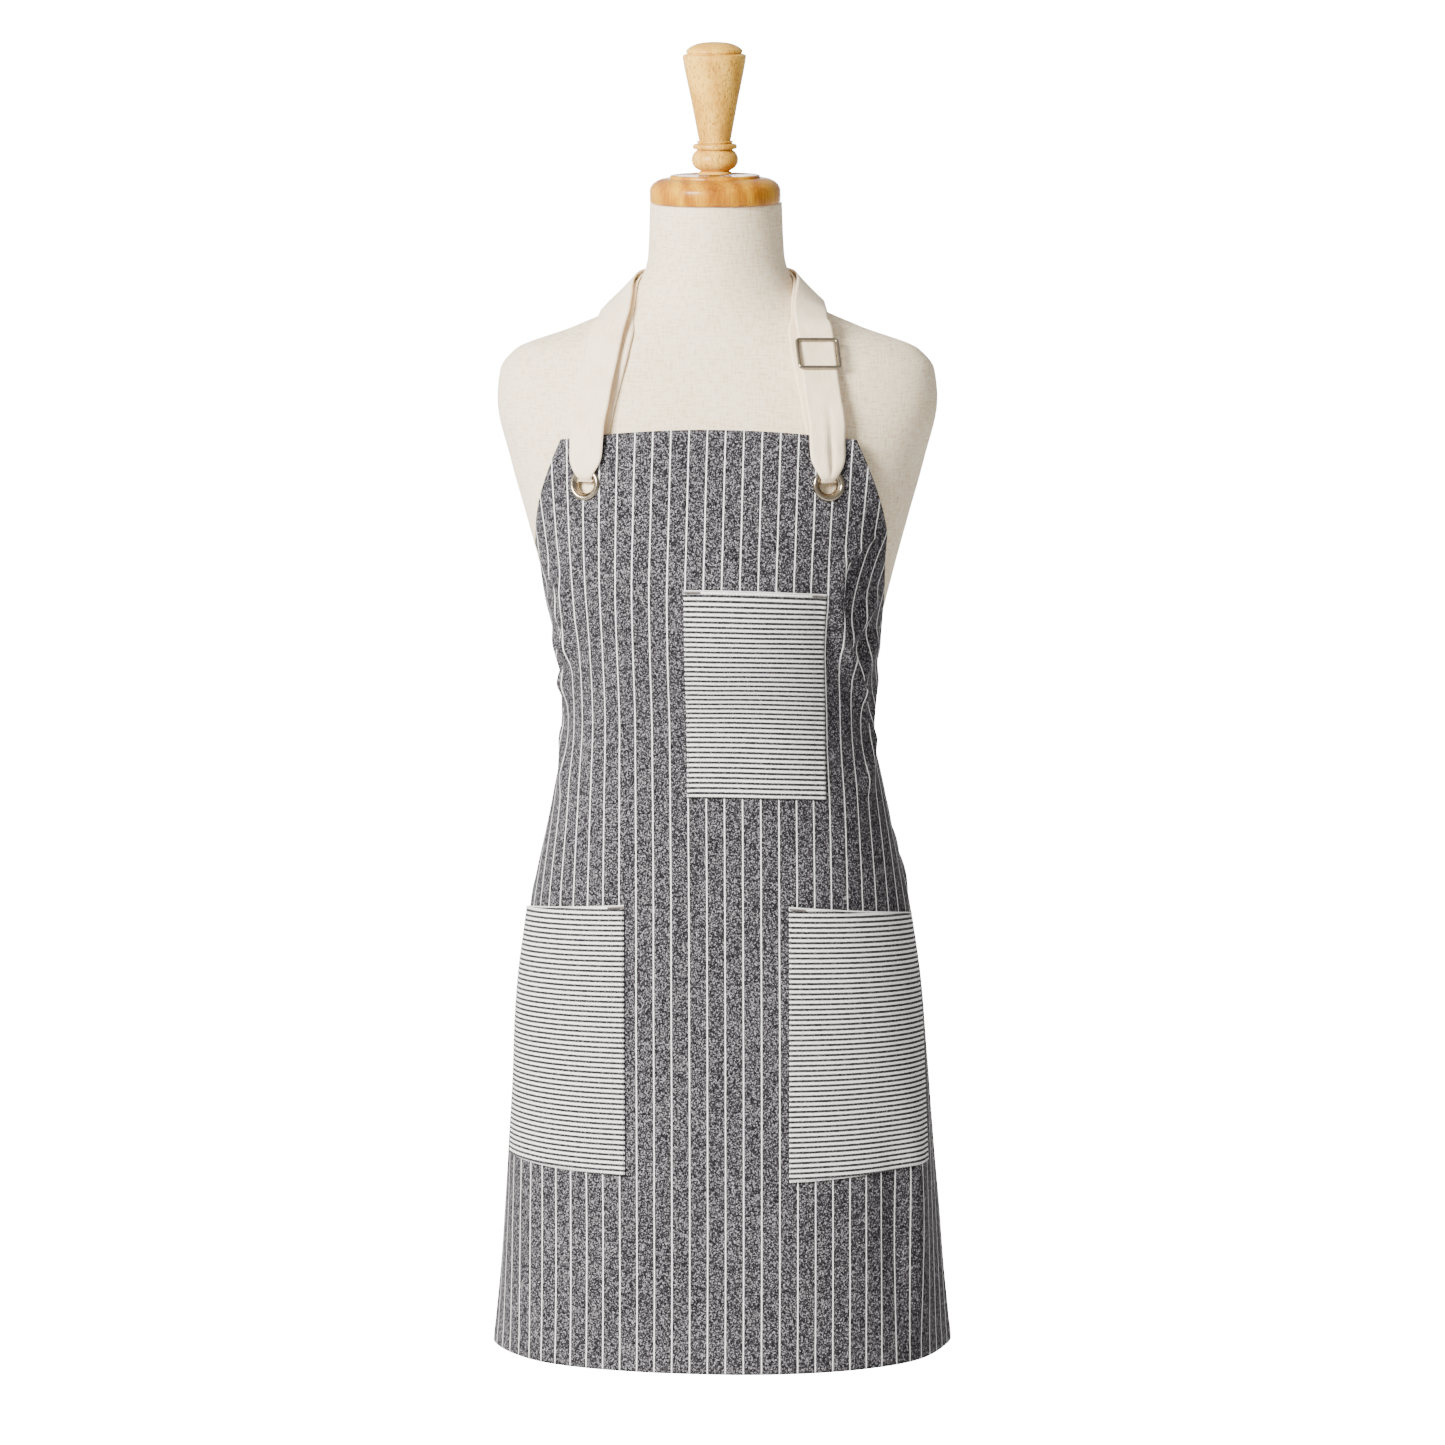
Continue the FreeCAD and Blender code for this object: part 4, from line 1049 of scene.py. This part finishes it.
def waist_ties():
    half, _, back = apron_at(KNOT[2])
    power = float(squareness(KNOT[2]))
    span = [np.array([x, back * (1 - (x / half) ** power) ** (1 / power) + 3.0, KNOT[2]])
            for x in (66, 54, 42, 30, 20)]
    span.append(np.array([11.5, 91, KNOT[2]]))
    loop = [KNOT * np.array([0, 0, 1]) + np.array(point) for point in
            ((12, 95, 4), (40, 91, 6), (75, 92, -4), (108, 96, -22), (124, 101, -32), (130, 106, -36),
             (124, 111, -34), (108, 113, -24), (75, 110, -6), (40, 105, 4), (12, 100, 4))]
    tail = [KNOT * np.array([0, 0, 1]) + np.array(point) for point in
            ((9, 99, -14), (13, 103, -40), (18, 106, -75), (22, 110, -105), (25, 117, -140),
             (27, 125, -180), (28, 129.5, -220), (28, 132, -260), (28, 133, -300))]
    loop_widths = [15.0, 22.0] + [TIE_W] * 7 + [22.0, 15.0]
    runs = (("span", tie_rows(span, [TIE_W] * 5 + [16.0], True)), ("loop", tie_rows(loop, loop_widths, True)),
            ("tail", tie_rows(tail, [13.0, 21.0] + [TIE_W] * 7, False)))
    for side, turn in (("left", lambda rows: rows), ("right", flip)):
        parts = []
        for part, rows in runs:
            seed = len(parts) + (7 if side == "left" else 3)

            def rumple(length, share, centre):
                fine = smooth_noise(length / 22 + seed, share * 1.5 + seed, 31 + seed)
                return 0.8 * fine * (np.abs(share) * 2) ** 0.5
            piece, length = tape(turn(rows), TIE_T, f"waist_tie_{side}_{part}", cup=rumple)
            parts.append((piece, length * MM))
        for piece, length in parts[1:]:
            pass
        piece, length = parts[0]
        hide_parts(f"waist_tie_{side}")


def waist_knot():
    """Two folded wraps of the ties pulled into a knot: one upright band and one lying band under it."""
    angle = np.linspace(0, 2 * math.pi, 49)[:-1]
    share = np.linspace(-0.5, 0.5, 15)
    bands = (("waist_knot_wrap", (10.0, 9.0, 13.6), 0.28), ("waist_knot_core", (11.4, 7.0, 9.5), 1.35))
    for name, sizes, turn in bands:
        a, s = np.meshgrid(angle, share, indexing="ij")
        fold = 1 + 0.05 * np.sin(9 * s + 2 * np.sin(a)) - 0.35 * (2 * s) ** 4
        x = sizes[0] * 1.9 * s
        y = sizes[1] * fold * np.cos(a)
        z = sizes[2] * fold * np.sin(a)
        place = np.stack([x * math.cos(turn) - z * math.sin(turn), y,
                          x * math.sin(turn) + z * math.cos(turn)], 2)
        uv = np.stack([s * 20, a * 11], 2) * MM
        piece = grid_object(name, (place + KNOT) * MM, TAPE, uv=uv, slot="cream_tape", close_rows=True)
        thicken(piece, 1.2 * MM)
    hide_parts("waist_knot")


# ---- Turned wood ----
def rounded(corners, radius=0.9):
    """Profile with small arcs at its corners, for turned edges that catch the light."""
    p = [np.array(c, float) for c in corners]
    out = [tuple(p[0])]
    for before, at, after in zip(p, p[1:], p[2:]):
        a, b = before - at, after - at
        reach = min(radius, 0.45 * np.linalg.norm(a), 0.45 * np.linalg.norm(b))
        a, b = at + unit(a) * reach, at + unit(b) * reach
        for t in (0, 0.25, 0.5, 0.75, 1):
            out.append(tuple((1 - t) ** 2 * a + 2 * t * (1 - t) * at + t ** 2 * b))
    return out + [tuple(p[-1])]


NECK_AXIS_Y = -8.0


def neck_cap():
    centre = np.array([0, NECK_AXIS_Y, 0]) * MM
    low, top, radius, step = 878.0, 903.0, 58.0, 40.0
    side = [(6, low), (radius - 2, low), (radius, low + 2), (radius, low + 10)]
    shoulder = [(step + 1 + (radius - step - 1) * math.cos(math.radians(a)),
                 low + 11 + 11.4 * math.sin(math.radians(a))) for a in range(4, 91, 6)]
    disc = rounded([(step + 1.2, low + 22.3), (step + 0.3, low + 22.2), (step, top - 1.0), (step - 1.2, top),
                    (6, top)], 0.8)
    profile = side + shoulder + disc + [(6, low)]
    piece = lathe("neck_cap_turning", profile, centre, AMBER_WOOD, "amber_wood", steps=160)
    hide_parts("neck_cap")


def finial():
    centre = np.array([0, NECK_AXIS_Y, 0]) * MM
    foot, hole = 903.3, 4.05
    base = rounded([(hole, 0), (15, 0), (15.5, 1.5), (13.2, 3)])
    ball = [(20.6 * math.cos(math.radians(a)) ** 0.6, 13.2 + 11.0 * math.sin(math.radians(a)))
            for a in range(-68, 53, 4)]
    ring = rounded([(16.8, 22.4), (19.2, 22.6), (19.7, 24.4), (19.2, 26.6), (15.0, 27.4)], 0.8)
    ring += rounded([(14.6, 27.6), (16.0, 28.0), (16.0, 29.4), (14.0, 29.9)], 0.5)
    flare = smooth_path([(14.2, 30.6), (16.9, 45), (20.7, 65), (24.4, 83), (27.0, 96), (28.0, 103)], 6)
    flare = flare.tolist()
    flare += rounded([(28.0, 103), (28.2, 104.8), (25.4, 106.1), (23.9, 106.3)], 0.7)
    bead = smooth_path([(23.9, 106.6), (24.9, 107.4), (24.9, 108.9), (23.7, 110.6), (19.5, 113.4),
                        (13, 115.6), (5, 116.5), (0.05, 116.7)], 6).tolist()
    profile = [(r, foot + h) for r, h in base + ball + ring + flare + bead]
    profile += [(0.05, foot + 35), (hole, foot + 34), (hole, foot)]
    piece = lathe("finial_turning", profile, centre, PALE_WOOD, "pale_wood", body="finial", steps=128)
    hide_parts("finial")


# ---- Stage, light and camera ----
AIM = Vector((0, 0, 0.413))
DISTANCE = 6.0
CAMERA_RISE = 0.85
AZIMUTH = math.radians(5.0)
ROLL = math.radians(-0.33)
LENS_PX = 6704.0
IMAGE_PX = 1445.0
SENSOR_MM = 36.0


def camera():
    elevation = math.asin(CAMERA_RISE / DISTANCE)
    back = Vector((math.sin(AZIMUTH) * math.cos(elevation), -math.cos(AZIMUTH) * math.cos(elevation),
                   math.sin(elevation)))
    right = Vector((math.cos(AZIMUTH), math.sin(AZIMUTH), 0))
    up = back.cross(right)
    right, up = (right * math.cos(ROLL) + up * math.sin(ROLL), up * math.cos(ROLL) - right * math.sin(ROLL))
    data = bpy.data.cameras.new("camera")
    data.sensor_width = SENSOR_MM
    data.lens = SENSOR_MM * LENS_PX / IMAGE_PX
    data.shift_x = 3.5 / IMAGE_PX
    data.clip_end = 50
    view = bpy.data.objects.new("camera", data)
    view.matrix_world = Matrix(((right.x, up.x, back.x, 0), (right.y, up.y, back.y, 0),
                                (right.z, up.z, back.z, 0), (0, 0, 0, 1)))
    view.matrix_world.translation = AIM + back * DISTANCE
    bpy.context.scene.collection.objects.link(view)
    bpy.context.scene.camera = view


def area_light(name, place, aim, size, power, colour=(1, 1, 1)):
    data = bpy.data.lights.new(name, "AREA")
    data.shape = "RECTANGLE"
    data.size, data.size_y = size
    data.energy = power
    data.color = colour
    light = bpy.data.objects.new(name, data)
    light.location = place
    light.rotation_euler = (Vector(aim) - Vector(place)).to_track_quat("-Z", "Y").to_euler()
    bpy.context.scene.collection.objects.link(light)


def plain_sheet(name, corners, material):
    mesh = bpy.data.meshes.new(name)
    mesh.from_pydata(corners, [], [(0, 1, 2, 3)])
    mesh.materials.append(material)
    sheet = bpy.data.objects.new(name, mesh)
    bpy.context.scene.collection.objects.link(sheet)


def paper(name, glow):
    n = Nodes(name, 0.9, Specular_IOR_Level=0.1, Emission_Strength=glow)
    tone = n.ramp(n.noise(n.object(), 3, detail=3), (0.3, (0.90, 0.90, 0.895)), (0.7, (0.93, 0.93, 0.925)))
    n.wire(tone, n.shader.inputs["Emission Color"])
    return n.finish(tone)


FLOOR_Z = -2.6
BACKDROP_Y = 9.0


def studio():
    """Pale floor, a bright white backdrop far behind, a large key light at the front left and soft air."""
    reach = 9.0
    plain_sheet("floor", [(-reach, -reach, FLOOR_Z), (reach, -reach, FLOOR_Z), (reach, BACKDROP_Y, FLOOR_Z),
                          (-reach, BACKDROP_Y, FLOOR_Z)], paper("pale paper", 0.0))
    plain_sheet("backdrop", [(-3.1, BACKDROP_Y, FLOOR_Z), (1.5, BACKDROP_Y, FLOOR_Z), (1.5, BACKDROP_Y, 1.6),
                             (-3.1, BACKDROP_Y, 1.6)], paper("bright backdrop", 17.0))

    world = bpy.data.worlds.new("studio air")
    world.use_nodes = True
    tree = world.node_tree
    split = tree.nodes.new("ShaderNodeSeparateXYZ")
    tree.links.new(tree.nodes.new("ShaderNodeTexCoord").outputs["Generated"], split.inputs[0])
    side = tree.nodes.new("ShaderNodeMapRange")
    for socket, value in (("From Min", -1.0), ("From Max", 1.0), ("To Min", 1.25), ("To Max", 0.42)):
        side.inputs[socket].default_value = value
    tree.links.new(split.outputs[0], side.inputs["Value"])
    tree.links.new(side.outputs["Result"], tree.nodes["Background"].inputs["Strength"])
    tree.nodes["Background"].inputs["Color"].default_value = (1, 1, 1, 1)
    bpy.context.scene.world = world
    area_light("key", (-2.3, -3.2, 2.2), AIM, (1.5, 1.5), 680, (1.0, 0.985, 0.965))


def sew_apron():
    """Rows of stitches along the apron's turned hems."""
    def place(u, v, extra):
        return on_apron(u, v, extra) / MM
    rows = []
    for side in (-1, 1):
        for inset in (1.6, 9.0):
            for (v0, w0), (v1, w1) in zip(CUT, CUT[1:]):
                start, end = (side * (w0 - inset), v0 + 2), (side * (w1 - inset), v1 - 1)
                rows.append(run_stitches(place, start, end, math.dist(start, end), 3.0, 2.1))
    rows.append(run_stitches(place, (-131, 2.0), (131, 2.0), 262, 3.0, 2.1))
    rows.append(run_stitches(place, (-140, 20.5), (140, 20.5), 280, 3.0, 2.1))
    stitches("apron_hem_stitches", *zip(*rows), 0.42, 0.18, GREY_THREAD)


camera()
studio()
linen_cover()
apron_cloth()
sew_apron()
pockets = []
for name, corners, gape, seed, tacks in (("chest_pocket", CHEST, CHEST_GAPE, 41, (0, 1)),
                                         ("hip_pocket_left", HIP_LEFT, HIP_GAPE, 42, (0,)),
                                         ("hip_pocket_right", HIP_RIGHT, HIP_GAPE, 43, (0,))):
    sewn = pocket(name + "_cloth", name, corners, gape, seed)
    pockets.append((name.replace("_pocket", ""), sewn, tacks))
sew_pockets(pockets)
eyelets()
neck_strap()
strap_slider()
waist_ties()
waist_knot()
neck_cap()
finial()

CAD_LOOKS = {
    "torso_shell": MOULDED, "base_plate": PLYWOOD, "neck_block": PLYWOOD, "base_plate_screws": STEEL,
    "neck_cap_screws": STEEL, "finial_insert": BRASS, "finial_stud": STEEL, "pole_socket": BLACK_COAT,
    "socket_flange": BLACK_COAT, "socket_screws": STEEL, "clamp_screw": STEEL, "clamp_knob": KNOB}
for node, material in CAD_LOOKS.items():
    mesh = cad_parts[node].data
    mesh.materials.clear()
    mesh.materials.append(material)
